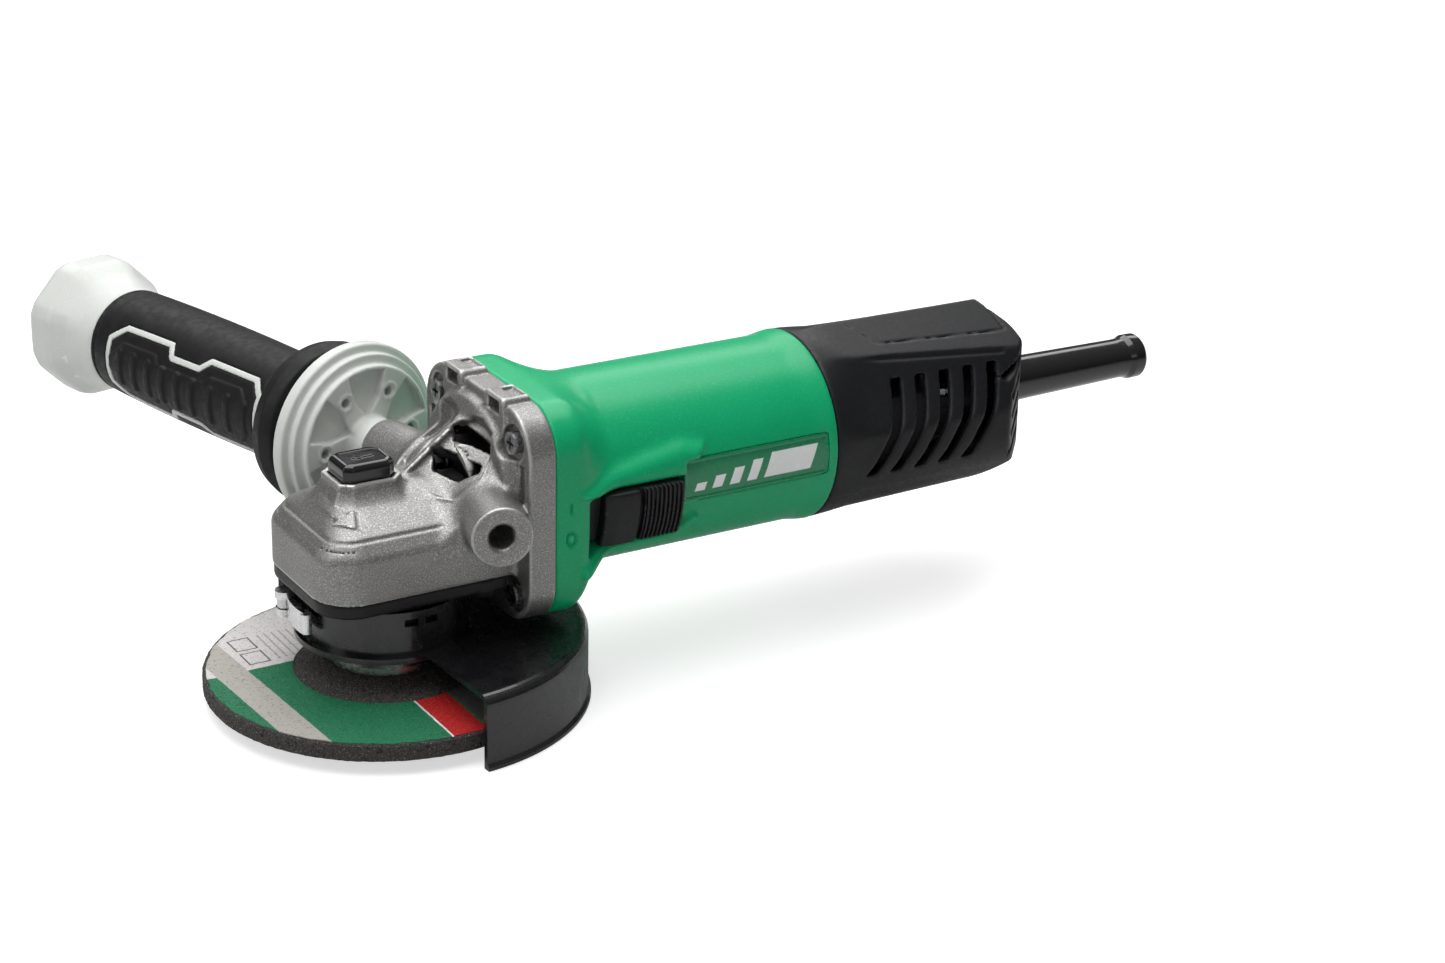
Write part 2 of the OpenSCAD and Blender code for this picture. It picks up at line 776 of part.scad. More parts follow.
module rear_bearing_sleeve() {
    color("#202020") ring_x(rear_bearing_x, rear_bearing_x + rear_bearing_t,
                            rear_bearing_r + sleeve_t, rear_bearing_r + fit);
}

// ---------------------------------------------------------------- tail

switch_body_len = 30;

module switch_body() {
    color("#303036") {
        difference() {
            translate([switch_body_x, -24, motor_z - 12]) cube([switch_body_len, 18, 24]);
            translate([switch_body_x - over, -60, motor_z - 9]) cube([9, 60, 3]);
        }
        for (z = [-6, 6])
            translate([switch_body_x + switch_body_len - fit, -18, motor_z + z]) cube([6, 6, 0.8]);
    }
}

module control_board() {
    color("darkgreen") translate([housing_end + 14, 4, motor_z - 20])
        cube([clip_x - clip_half - 2 - housing_end - 14, 1.6, 38]);
    color("#222222") {
        translate([housing_end + 20, 5.6, motor_z - 14]) cube([16, 12, 12]);
        translate([housing_end + 20, 5.6, motor_z + 2]) cube([22, 8, 12]);
        translate([clip_x - clip_half - 9, 5.6, motor_z + 2]) rotate([-90, 0, 0]) cylinder(h = 14, r = 5);
    }
}

module tail_shape(inset) {
    hull() {
        rod_x(housing_end, housing_end + 0.1, tube_r + 1.2 - inset);
        plate_x(housing_end + 26, housing_end + 27, tail_side - inset, 32 - inset,
                tail_top - inset, 20 - inset);
        plate_x(tail_end - 14, tail_end - 13, tail_side - 1 - inset, tail_drop - inset,
                tail_top - 1 - inset, 17 - inset);
        plate_x(tail_end - 0.1 - inset, tail_end - inset, 20 - inset, 20 - inset, 22 - inset,
                9 - inset);
    }
}

module tail_cover() {
    color("#262626") difference() {
        tail_shape(0);
        difference() {
            tail_shape(tail_wall);
            rod_x(tail_end - 16, tail_end + over, 12);
            for (z = [-tail_screw_z, tail_screw_z])
                translate([housing_end - over, 0, motor_z + z]) rotate([0, 90, 0])
                    cylinder(h = tail_len, r = 4.4);
        }
        rod_x(housing_end - over, housing_end + 0.2, tube_r - 2);
        rod_x(tail_end - 20, tail_end + over, cord_seat_r + fit);
        rod_x(tail_end - 13, tail_end - 9, cord_seat_r + 1.6 + fit);
        for (z = [-tail_screw_z, tail_screw_z]) {
            translate([housing_end - over, 0, motor_z + z]) rotate([0, 90, 0])
                cylinder(h = tail_len, r = tail_screw_r + fit);
            translate([housing_end + 40, 0, motor_z + z]) rotate([0, 90, 0])
                cylinder(h = tail_len, r = 4);
        }
        side_vents();
    }
}

// Five long vents on each flank.
module side_vents() {
    for (i = [0 : 4])
        for (side = [-1, 1])
            translate([housing_end + 23 + 10.5 * i, side * 34, motor_z - 1 + i])
                rotate([0, 14, 0]) cube([4, 14, 34], center = true);
}

module tail_screws() {
    color("dimgray") {
        for (z = [-tail_screw_z, tail_screw_z])
            translate([housing_end + 40, 0, motor_z + z]) rotate([0, 90, 0])
                cross_screw(tail_screw_r, 46, 3.4, 2.4);
        for (y = [-clip_y, clip_y])
            translate([clip_x, y, motor_z + clip_up + 2.1]) cross_screw(tail_screw_r, 10, 3.4, 2.4);
    }
}

// Clamp that holds the cord just inside the tail cover, on its lower bar.
module cord_clip() {
    color("#1c1c1c") {
        difference() {
            translate([clip_x - clip_half, -14, motor_z + 0.3])
                cube([2 * clip_half, 28, clip_up + 1.8 - 0.3]);
            rod_x(clip_x - 10, clip_x + 10, cord_hole_r - 0.3);
            for (y = [-clip_y, clip_y])
                translate([clip_x, y, motor_z - 20]) cylinder(h = 40, r = tail_screw_r + fit);
        }
        difference() {
            translate([clip_x - clip_half, -14, motor_z - 9]) cube([2 * clip_half, 28, 9]);
            rod_x(clip_x - 10, clip_x + 10, cord_hole_r - 0.3);
            for (y = [-clip_y, clip_y])
                translate([clip_x, y, motor_z - 20]) cylinder(h = 40, r = tail_screw_r + fit);
        }
    }
}

module cord_guard() {
    color("#111111") difference() {
        union() {
            rod_x(tail_end - 16, tail_end + over, cord_seat_r);
            rod_x(tail_end - 13, tail_end - 9, cord_seat_r + 1.6);
            translate([tail_end, 0, motor_z]) rotate([0, 90, 0])
                cylinder(h = cord_guard_len - 8, r1 = 9.2, r2 = 7.5);
            translate([guard_end - 8, 0, motor_z]) rotate([0, 90, 0]) cylinder(h = 3, r1 = 7.5, r2 = 8.5);
            rod_x(guard_end - 5, guard_end, 8.5);
        }
        rod_x(tail_end - 20, guard_end + over, cord_hole_r);
    }
}

// ---------------------------------------------------------------- spindle group

module spindle() {
    color("silver") difference() {
        union() {
            translate([0, 0, -tip_chamfer])
                cylinder(h = tip_chamfer, r1 = thread_r - tip_chamfer, r2 = thread_r);
            cylinder(h = seat_z, r = thread_r);
            translate([0, 0, seat_z]) cylinder(h = bearing_bottom - seat_z - fit, r = collar_r);
            translate([0, 0, seat_z]) cylinder(h = motor_z - 5 - seat_z, r = journal_r);
            translate([0, 0, seat_z]) cylinder(h = motor_z + 4.4 - seat_z, r = top_journal_r);
        }
        gear_key_slot(0);
        ring_z(relief_z, relief_z + relief_t, collar_r, thread_r - relief_depth);
    }
}

module gear_key_slot(gap) {
    translate([-1.5 - gap, journal_r - 1.5, motor_z - 20]) cube([3 + 2 * gap, 3, 11 + gap]);
}

module gear_key() {
    color("gray") translate([-1.45, journal_r - 1.45, motor_z - 19.9]) cube([2.9, 2.8, 10.8]);
}

module bevel_gear() {
    add = tooth_angle(tooth_module * (1 - shift));
    ded = tooth_angle(tooth_module * (1.25 + shift));
    thick = (90 / gear_teeth) - (shift * tooth_module * tan(pressure) + backlash) / gear_pitch_r * 180 / PI;
    color("#c8c8c8") translate([0, 0, motor_z]) rotate([180, 0, 0]) difference() {
        union() {
            bevel_teeth(tooth_outline(gear_teeth, 0, gear_pitch, add, ded, thick), 14, 7);
            translate([0, 0, gear_hub_top])
                cylinder(h = motor_z - bearing_top - fit - gear_hub_top, r = gear_hub_r);
        }
        cylinder(h = 60, r = journal_r + fit / 2);
        for (i = [0 : 3])
            rotate([0, 0, 90 * i]) translate([lock_radius, 0, 0]) cylinder(h = 30, r = lock_hole_r);
        translate([-1.5, -journal_r - 1.4, 0]) cube([3, 4, 60]);
    }
}

module spindle_bearing_inner() {
    color("lightsteelblue") translate([0, 0, bearing_bottom + bearing_t / 2])
        inner_race(journal_r + fit / 2, spindle_pitch_r, spindle_ball_r, bearing_t);
}

module inner_flange() {
    color("gray") difference() {
        union() {
            translate([0, 0, hub_top]) cylinder(h = inner_flange_t, r = flange_d / 2 - 2);
            translate([0, 0, hub_top]) cylinder(h = inner_flange_t / 2, r = flange_d / 2);
            translate([0, 0, hub_top - 1.8]) cylinder(h = 3, r = wheel_bore_d / 2 - 0.6);
        }
        translate([0, 0, hub_top - 5]) cylinder(h = 20, r = thread_r + fit);
    }
}

// Depressed-centre wheel: a flat rim, a cone and a raised hub, all of one thickness.

module grinding_wheel() {
    color("#3a3836") rotate_extrude() polygon([
        [wheel_bore_d / 2 - 0.3, nut_top],
        [hub_r, nut_top],
        [cone_r, rim_bottom],
        [wheel_d / 2, rim_bottom],
        [wheel_d / 2, rim_top],
        [cone_r - 1, rim_top],
        [hub_r - 1, hub_top],
        [wheel_bore_d / 2 - 0.3, hub_top]]);
}

module wheel_bushing() {
    color("silver") ring_z(nut_top, hub_top, wheel_bore_d / 2 - 0.32, wheel_bore_d / 2 - 0.55);
}

module wheel_label() {
    color("mediumseagreen") ring_z(rim_top, rim_top + 0.15, wheel_d / 2 - 1.5, cone_r + 1.5);
}

module wheel_nut() {
    color("gray") difference() {
        union() {
            translate([0, 0, thread_free + 2]) cylinder(h = nut_t - 2, r = flange_d / 2);
            translate([0, 0, thread_free]) cylinder(h = 2.1, r = flange_d / 2 - 5);
            translate([0, 0, nut_top - fit]) cylinder(h = 1.6, r = wheel_bore_d / 2 - 0.7);
        }
        cylinder(h = 40, r = thread_r + fit);
        for (i = [0 : 3])
            rotate([0, 0, 90 * i + 45]) translate([15, 0, -over]) cylinder(h = 8, r = 2.5);
    }
}

// ---------------------------------------------------------------- armature group

module armature_shaft() {
    color("silver") {
        rod_x(nut_x - 0.4, front_bearing_x - 2.4, pinion_bore_r);
        rod_x(front_bearing_x - 2.4, core_x - 14, front_journal_r);
        rod_x(core_x - 14, rear_bearing_x + rear_bearing_t + 1, shaft_r);
    }
}

module bevel_pinion() {
    add = tooth_angle(tooth_module * (1 + shift));
    ded = tooth_angle(tooth_module * (1.25 - shift));
    widened = shift * tooth_module * tan(pressure) - backlash;
    thick = (90 / pinion_teeth) + widened / pinion_pitch_r * 180 / PI;
    color("#b8b8b8") translate([0, 0, motor_z]) rotate([0, 90, 0]) difference() {
        union() {
            bevel_teeth(tooth_outline(pinion_teeth, 0.5, pinion_pitch, add, ded, thick), 24, 15.2);
            translate([0, 0, 21]) cylinder(h = front_bearing_x - 2.4 - 21, r = 4.4);
        }
        cylinder(h = 60, r = pinion_bore_r + fit);
    }
}

module pinion_nut() {
    color("gray") difference() {
        translate([nut_x, 0, motor_z]) rotate([0, 90, 0]) cylinder(h = pinion_nut_t, r = pinion_nut_r, $fn = 6);
        rod_x(nut_x - over, nut_x + 10, pinion_bore_r + fit);
    }
}

module front_bearing_inner() {
    color("lightsteelblue") translate([front_bearing_x + front_bearing_t / 2, 0, motor_z])
        rotate([0, 90, 0]) inner_race(front_journal_r + fit, front_pitch_r, front_ball_r, front_bearing_t);
}

module rear_bearing_inner() {
    color("lightsteelblue") translate([rear_bearing_x + rear_bearing_t / 2, 0, motor_z])
        rotate([0, 90, 0]) inner_race(shaft_r + fit, rear_pitch_r, rear_ball_r, rear_bearing_t);
}

module rotor_core() {
    color("slategray") difference() {
        rod_x(core_x, core_end, rotor_r);
        rod_x(core_x - over, core_end + over, shaft_r + fit);
        for (i = [0 : slot_count - 1])
            translate([core_x - over, 0, motor_z]) rotate([360 * i / slot_count, 0, 0])
                translate([0, -1.5, rotor_r - 6.5]) cube([core_len + 2 * over, 3, 5]);
    }
}

module rotor_windings() {
    color("#8b4513") {
        for (i = [0 : slot_count - 1])
            translate([core_x - 1, 0, motor_z]) rotate([360 * i / slot_count, 0, 0])
                translate([0, -1.4, rotor_r - 6.4]) cube([core_len + 2, 2.8, 4.8]);
        ring_x(core_x - 7, core_x - 0.1, rotor_r - 1.8, shaft_r + 2);
        ring_x(core_end + 0.1, core_end + 9, rotor_r - 1.8, shaft_r + 2);
    }
}

module commutator() {
    color("#b87333") difference() {
        rod_x(commutator_x - 2, commutator_x + commutator_t, commutator_r);
        rod_x(commutator_x - 10, commutator_x + 30, shaft_r + fit);
        for (i = [0 : 23])
            translate([commutator_x, 0, motor_z]) rotate([15 * i, 0, 0])
                translate([-10, -0.25, commutator_r - 1]) cube([40, 0.5, 3]);
    }
}

module cooling_fan() {
    color("#d8d8d0") difference() {
        union() {
            rod_x(fan_x, fan_x + 2, fan_r);
            rod_x(fan_x, fan_x + fan_t - 1, 9);
            for (i = [0 : 14])
                translate([fan_x, 0, motor_z]) rotate([24 * i, 0, 0])
                    translate([0, -0.9, 12]) rotate([-18, 0, 0]) cube([fan_t, 1.6, fan_r - 14]);
        }
        rod_x(fan_x - over, fan_x + 40, front_journal_r + fit);
    }
}

// ---------------------------------------------------------------- controls

module lock_button() {
    color("#181818") difference() {
        translate([0, 0, motor_z + button_base]) hull() {
            linear_extrude(height = button_h - 1.5) button_outline(0);
            linear_extrude(height = button_h) button_outline(-1.4);
        }
        translate([-lock_radius, 0, motor_z])
            cylinder(h = button_base + pin_seat, r = lock_pin_r + fit);
    }
}

module lock_pin() {
    color("silver") translate([-lock_radius, 0, motor_z + lock_pin_end])
        cylinder(h = button_base + pin_seat - fit - lock_pin_end, r = lock_pin_r);
}

module lock_spring() {
    color("silver") translate([-lock_radius, 0, motor_z + spring_floor + fit])
        coil_spring(2.75, 0.35, button_base - spring_floor - 2 * fit, 4);
}

module switch_knob() {
    color("#141414") switch_frame() {
        difference() {
            translate([knob_x, -knob_top, -knob_half_w])
                cube([knob_len, knob_top - pocket_floor - 0.2, 2 * knob_half_w]);
            for (i = [0 : 7])
                translate([knob_x + 14.5 + 2 * i, -knob_top - over, -knob_half_w - over])
                    cube([0.9, over + 0.8, 2 * (knob_half_w + over)]);
            translate([knob_x + 12.3, -knob_top - over, -knob_half_w - over])
                cube([1.2, over + 1, 2 * (knob_half_w + over)]);
        }
        translate([knob_x + 3, -pocket_floor - 0.3, -bar_half_w])
            cube([16, pocket_floor + 0.3 - bar_y - bar_t - fit, 2 * bar_half_w]);
    }
}

module slide_bar() {
    color("silver") switch_frame() {
        translate([knob_x + 1, -bar_y - bar_t, -bar_half_w])
            cube([bar_end - knob_x - 1, bar_t, 2 * bar_half_w]);
    }
}

// ---------------------------------------------------------------- wheel guard

// Cross-section of the guard: collar, plate, rounded shoulder and skirt with a turned-out edge.
module guard_profile() {
    shoulder = 4;
    polygon(concat(
        [[collar_in_r, collar_top], [collar_in_r, plate_bottom]],
        [for (a = [90 : -15 : 0]) [skirt_in_r - shoulder + 2 + (shoulder - 2) * cos(a),
                                   plate_bottom - shoulder + 2 + (shoulder - 2) * sin(a)]],
        [[skirt_in_r, skirt_bottom], [skirt_r + 1, skirt_bottom], [skirt_r + 1, skirt_bottom + 1.2],
         [skirt_r, skirt_bottom + 2.4]],
        [for (a = [0 : 15 : 90]) [skirt_r - shoulder + shoulder * cos(a),
                                  plate_top - shoulder + shoulder * sin(a)]],
        [[collar_out_r, plate_top], [collar_out_r, collar_top]]));
}

// Wedge of space about the spindle axis between two angles.
module sector(from, to, r, z0, z1) {
    translate([0, 0, z0]) linear_extrude(height = z1 - z0)
        polygon(concat([[0, 0]], [for (i = [0 : 6]) let (a = from + (to - from) * i / 6)
                                  [r * cos(a), r * sin(a)]]));
}

module wheel_guard() {
    color("#161616") difference() {
        union() {
            rotate_extrude() guard_profile();
            clamp_ears();
        }
        difference() {
            sector(guard_half_angle, 360 - guard_half_angle, 2 * skirt_r,
                   skirt_bottom - over, plate_top + 0.3);
            translate([0, 0, skirt_bottom - 2 * over]) cylinder(h = 80, r = lip_r);
        }
        // Split that lets the clamp close the collar.
        rotate([0, 0, clamp_angle]) translate([collar_in_r - 3, -1, plate_top + 2]) cube([30, 2, 40]);
        for (a = index_slots)
            rotate([0, 0, a]) translate([collar_in_r - 2, -2.4, collar_top - 5.2]) cube([9, 4.8, 2.6]);
        rotate([0, 0, clamp_angle]) translate([clamp_r, -30, clamp_z]) rotate([-90, 0, 0])
            cylinder(h = 60, r = clamp_screw_r + 0.1);
    }
}

// Two ears beside the collar's split; the clamp screw draws them together.
module clamp_ears() {
    rotate([0, 0, clamp_angle]) for (y = [-ear_out, ear_out - ear_t])
        translate([collar_in_r + 1, y, plate_top + 2.4])
            cube([clamp_r + 3.5 - collar_in_r - 1, ear_t, collar_top - plate_top - 3]);
}

// Places its children at the lever's pin, with +Y pointing round the collar.
module lever_frame() {
    rotate([0, 0, clamp_angle]) translate([clamp_r, pin_y, clamp_z]) children();
}

module guard_clamp_screw() {
    color("silver") {
        rotate([0, 0, clamp_angle]) translate([clamp_r, 0, clamp_z]) {
            translate([0, -ear_out - 2.5, 0]) rotate([-90, 0, 0])
                cylinder(h = ear_out + 2.5 + pin_y - eye_r + 0.5, r = clamp_screw_r);
            translate([0, -ear_out - 2.5, 0]) rotate([-90, 0, 0]) cylinder(h = 2.4, r = 3.4, $fn = 6);
        }
        lever_frame() difference() {
            translate([0, 0, -eye_t / 2]) cylinder(h = eye_t, r = eye_r);
            translate([0, 0, -eye_t]) cylinder(h = 2 * eye_t, r = lever_pin_r + run);
        }
    }
}

module lever_pin() {
    color("silver") lever_frame() translate([0, 0, -knuckle_h / 2]) cylinder(h = knuckle_h, r = lever_pin_r);
}

// Clamp lever: a fork around the screw's eye, and an arm that follows the collar.
module guard_lever() {
    color("lightgray") difference() {
        union() {
            lever_frame() translate([0, 0, -knuckle_h / 2]) cylinder(h = knuckle_h, r = knuckle_r);
            intersection() {
                ring_z(clamp_z - knuckle_h / 2 + 0.5, clamp_z + knuckle_h / 2 - 0.5,
                       lever_in_r + lever_t, lever_in_r);
                sector(lever_start, lever_start + lever_sweep, 2 * lever_in_r, 0, motor_z);
            }
            rotate([0, 0, lever_start + lever_sweep])
                translate([lever_in_r + lever_t / 2, 0, clamp_z - knuckle_h / 2 + 1])
                    cylinder(h = knuckle_h - 2, r = lever_t / 2 + 0.6);
        }
        lever_frame() {
            translate([0, 0, -knuckle_h]) cylinder(h = 2 * knuckle_h, r = lever_pin_r + fit);
            translate([0, 0, -eye_t / 2 - 0.3]) cylinder(h = eye_t + 0.6, r = knuckle_r + 1.2);
        }
    }
}

// ---------------------------------------------------------------- side handle

// Pointed pocket between two screws of the handle's flange.
module flange_pocket() {
    rotate_extrude(angle = 40, start = -20) translate([11, plateau_s - over])
        square([plateau_r - 12.5, flange_step + over]);
}

module handle_flange() {
    color("#ebebe6") handle_frame(0) difference() {
        union() {
            translate([0, 0, boss_face + fit]) cylinder(h = plateau_s - boss_face, r = flange_hub_r);
            translate([0, 0, plateau_s]) cylinder(h = disc_s - plateau_s, r = plateau_r);
            translate([0, 0, plateau_s + flange_step]) cylinder(h = flange_step + over, r = disc_d / 2 - 3);
            translate([0, 0, disc_s]) cylinder(h = disc_t, r = disc_d / 2);
        }
        translate([0, 0, boss_face - over]) cylinder(h = 80, r = bolt_r + fit);
        translate([0, 0, boot_s - 4]) cylinder(h = 20, r = 8.7, $fn = 6);
        for (i = [0 : 5]) rotate([0, 0, 60 * i]) {
            rotate([0, 0, 30]) flange_pocket();
            translate([flange_screw_ring, 0, plateau_s - over]) cylinder(h = 6 + over, r = 1.5);
        }
    }
}

module handle_bolt() {
    color("silver") handle_frame(0) {
        translate([0, 0, boss_face - bolt_depth])
            cylinder(h = boot_s - 3.9 - boss_face + bolt_depth, r = bolt_r);
        translate([0, 0, boot_s - 3.9]) cylinder(h = 6, r = 8.5, $fn = 6);
    }
}

module handle_boot() {
    color("#1a1a1a") handle_frame(boot_s) difference() {
        rotate_extrude() polygon([
            [10, fit], [24, fit], [boot_r - 1, 1.2], [boot_r - 1, 3.6], [23, 5.4], [23, 6.4],
            [boot_r, 9], [boot_r + 1, 12], [boot_r + 1, 16], [boot_r, 19], [23, 22.5],
            [21, boot_len], [14, boot_len], [14, 5], [10, 5]]);
    }
}

module handle_core() {
    color("#ebebe6") handle_frame(grip_s) {
        difference() {
            cylinder(h = grip_len, r = core_r);
            translate([0, 0, -over]) cylinder(h = grip_len - 6, r = 5);
        }
        translate([0, 0, grip_len - 0.1]) cylinder(h = 14, r1 = core_r + 3, r2 = cap_d / 2 - 4, $fn = 8);
        translate([0, 0, grip_len + 13.8]) cylinder(h = 16, r = cap_d / 2, $fn = 8);
        translate([0, 0, grip_len + 29.7])
            cylinder(h = cap_len - 29.7, r1 = cap_d / 2, r2 = cap_d / 2 - 8, $fn = 8);
    }
}

module handle_grip() {
    color("#1c1c1c") handle_frame(grip_s) difference() {
        rotate_extrude() polygon([
            [core_r + fit, 0.5], [grip_d / 2 - 1.5, 0.5], [grip_d / 2, 3], [grip_d / 2 - 0.6, 34],
            [grip_d / 2 + 0.4, 70], [grip_d / 2, grip_len - 3], [grip_d / 2 - 1.5, grip_len - 0.2],
            [core_r + fit, grip_len - 0.2]]);
    }
}

gear_case();
gear_case_screws();
packing_gland();
gland_screws();
bearing_retainer();
dust_seal();
spindle_bearing_outer();
bearing_balls();
top_bush();
inner_cover();
front_bearing_outer();
motor_housing();
name_plate();
fan_guide();
stator_core();
stator_coils();
stator_screws();
brush_holders();
carbon_brushes();
brush_springs();
rear_bearing_outer();
rear_bearing_sleeve();
switch_body();
control_board();
tail_cover();
tail_screws();
cord_guard();
cord_clip();
lock_spring();
handle_flange();
handle_bolt();
handle_boot();
spindle();
bevel_gear();
gear_key();
spindle_bearing_inner();
inner_flange();
grinding_wheel();
wheel_bushing();
wheel_label();
wheel_nut();
armature_shaft();
rotor_core();
rotor_windings();
commutator();
cooling_fan();
bevel_pinion();
pinion_nut();
front_bearing_inner();
rear_bearing_inner();
lock_button();
lock_pin();
switch_knob();
slide_bar();
wheel_guard();
guard_clamp_screw();
guard_lever();
lever_pin();
handle_core();
handle_grip();
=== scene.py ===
"""Looks of a corded angle grinder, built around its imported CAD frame.

Shapes are worked out in millimetres in the frame's own axes. Most shells are distance fields
(negative inside) that are meshed on a grid and then pulled onto the exact surface.
"""
import math

import bmesh
import bpy
import numpy as np
from mathutils import Matrix, Vector


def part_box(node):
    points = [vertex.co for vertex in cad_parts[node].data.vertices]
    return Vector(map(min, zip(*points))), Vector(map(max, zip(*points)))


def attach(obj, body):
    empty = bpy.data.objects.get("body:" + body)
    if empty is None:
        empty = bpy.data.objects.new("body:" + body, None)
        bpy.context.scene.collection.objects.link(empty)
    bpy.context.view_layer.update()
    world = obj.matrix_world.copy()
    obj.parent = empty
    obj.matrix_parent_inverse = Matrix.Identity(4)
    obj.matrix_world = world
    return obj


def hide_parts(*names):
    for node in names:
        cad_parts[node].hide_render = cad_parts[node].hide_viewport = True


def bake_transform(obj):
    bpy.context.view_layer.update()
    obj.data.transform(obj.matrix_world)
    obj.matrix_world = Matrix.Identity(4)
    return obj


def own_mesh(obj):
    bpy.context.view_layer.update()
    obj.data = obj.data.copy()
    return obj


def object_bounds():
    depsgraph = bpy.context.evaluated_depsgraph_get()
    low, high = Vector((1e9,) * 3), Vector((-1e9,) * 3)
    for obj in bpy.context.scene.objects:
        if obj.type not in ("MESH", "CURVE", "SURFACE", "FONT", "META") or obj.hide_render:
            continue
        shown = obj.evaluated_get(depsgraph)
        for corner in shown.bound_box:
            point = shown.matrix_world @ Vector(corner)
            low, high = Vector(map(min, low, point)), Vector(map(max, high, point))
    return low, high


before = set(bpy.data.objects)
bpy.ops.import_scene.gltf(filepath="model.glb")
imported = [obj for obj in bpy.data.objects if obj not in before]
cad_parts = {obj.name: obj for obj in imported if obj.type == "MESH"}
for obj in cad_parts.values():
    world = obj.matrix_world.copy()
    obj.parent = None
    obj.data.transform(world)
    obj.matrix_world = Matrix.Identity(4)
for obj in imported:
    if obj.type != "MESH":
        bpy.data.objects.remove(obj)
cad_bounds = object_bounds()

MM = 0.001


def span(node):
    """Lowest and highest corner of a CAD node, in millimetres."""
    low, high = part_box(node)
    return np.array(low) / MM, np.array(high) / MM


def middle(node):
    low, high = span(node)
    return (low + high) / 2


AXIS_Z = middle("rotor_core")[2]
SPLIT_X = span("motor_housing")[0][0]
HOUSING_END = span("motor_housing")[1][0]
TAIL_END = span("tail_cover")[1][0]
CASE_BOTTOM = span("packing_gland")[1][2]
HANDLE_CROSS_X = 33.0
HANDLE_LEAN = math.radians(14.2)
BOSS_FACE = 47.1
DISC_S = 61.2
GREEN_RADIUS = 33.6
PLATE_UP = 1.0
NECK_AT = (5.0, 0.0, 8.0)
NECK_NORMAL = (-0.556, 0.40, 0.73)
AIRWAY_FRONT, AIRWAY_R, AIRWAY_FLARE = 13, 15, 0.56


# ---- distance fields

def join(a, b, k=0.0):
    """Union of two fields, blended over k millimetres."""
    if k <= 0:
        return np.minimum(a, b)
    h = np.maximum(k - abs(a - b), 0) / k
    return np.minimum(a, b) - h * h * k * 0.25


def meet(a, b, k=0.0):
    """Intersection of two fields."""
    return -join(-a, -b, k)


def cut(a, b, k=0.0):
    """Field a with field b taken away."""
    return meet(a, -b, k)


def corner(*parts):
    """Distance to the inside corner that several half-spaces or outlines share."""
    outside = sum(np.maximum(d, 0) ** 2 for d in parts) ** 0.5
    inside = parts[0]
    for d in parts[1:]:
        inside = np.maximum(inside, d)
    return outside + np.minimum(inside, 0)


def block(x, y, z, centre, half, edge=0.0):
    """Rounded box."""
    q = [abs(c - m) - (h - edge) for c, m, h in zip((x, y, z), centre, half)]
    return corner(*q) - edge


def length(a, b):
    return np.sqrt(a * a + b * b)


def disc(a, b, along, radius, low, high, edge=0.0):
    """Round bar: a and b are measured across it, along is measured along it."""
    across = length(a, b) - (radius - edge)
    ends = abs(along - (low + high) / 2) - ((high - low) / 2 - edge)
    return corner(across, ends) - edge


def outline(a, b, half_a, half_b, radius):
    """Flat rounded rectangle centred on the origin of a and b."""
    return corner(abs(a) - (half_a - radius), abs(b) - (half_b - radius)) - radius


def slab(flat, along, low, high, edge=0.0):
    """A flat outline pulled out from low to high."""
    return corner(flat + edge, abs(along - (low + high) / 2) - ((high - low) / 2 - edge)) - edge


def stroke(a, b, start, end, half):
    """Flat round-ended line."""
    ea, eb = end[0] - start[0], end[1] - start[1]
    t = np.clip(((a - start[0]) * ea + (b - start[1]) * eb) / (ea * ea + eb * eb), 0, 1)
    return np.sqrt((a - start[0] - t * ea) ** 2 + (b - start[1] - t * eb) ** 2) - half


def polygon(a, b, corners):
    """Flat polygon."""
    best, sign = None, 1.0
    for (a0, b0), (a1, b1) in zip(corners, corners[-1:] + corners[:-1]):
        ea, eb = a1 - a0, b1 - b0
        wa, wb = a - a0, b - b0
        t = np.clip((wa * ea + wb * eb) / (ea * ea + eb * eb), 0, 1)
        far = (wa - t * ea) ** 2 + (wb - t * eb) ** 2
        best = far if best is None else np.minimum(best, far)
        above = wb >= 0
        below_next = b < b1
        left = ea * wb > eb * wa
        crosses = (above & below_next & left) | (~above & ~below_next & ~left)
        sign = np.where(crosses, -sign, sign)
    return sign * np.sqrt(best)


def plane(x, y, z, at, normal):
    """Half-space behind a plane."""
    n = np.array(normal) / np.linalg.norm(normal)
    return (x - at[0]) * n[0] + (y - at[1]) * n[1] + (z - at[2]) * n[2]


def ease(t):
    t = np.clip(t, 0, 1)
    return t * t * (3 - 2 * t)


CORNERS = [(i, j, k) for i in (0, 1) for j in (0, 1) for k in (0, 1)]
EDGES = [(a, b) for a in range(8) for b in range(a + 1, 8)
         if sum(abs(p - q) for p, q in zip(CORNERS[a], CORNERS[b])) == 1]


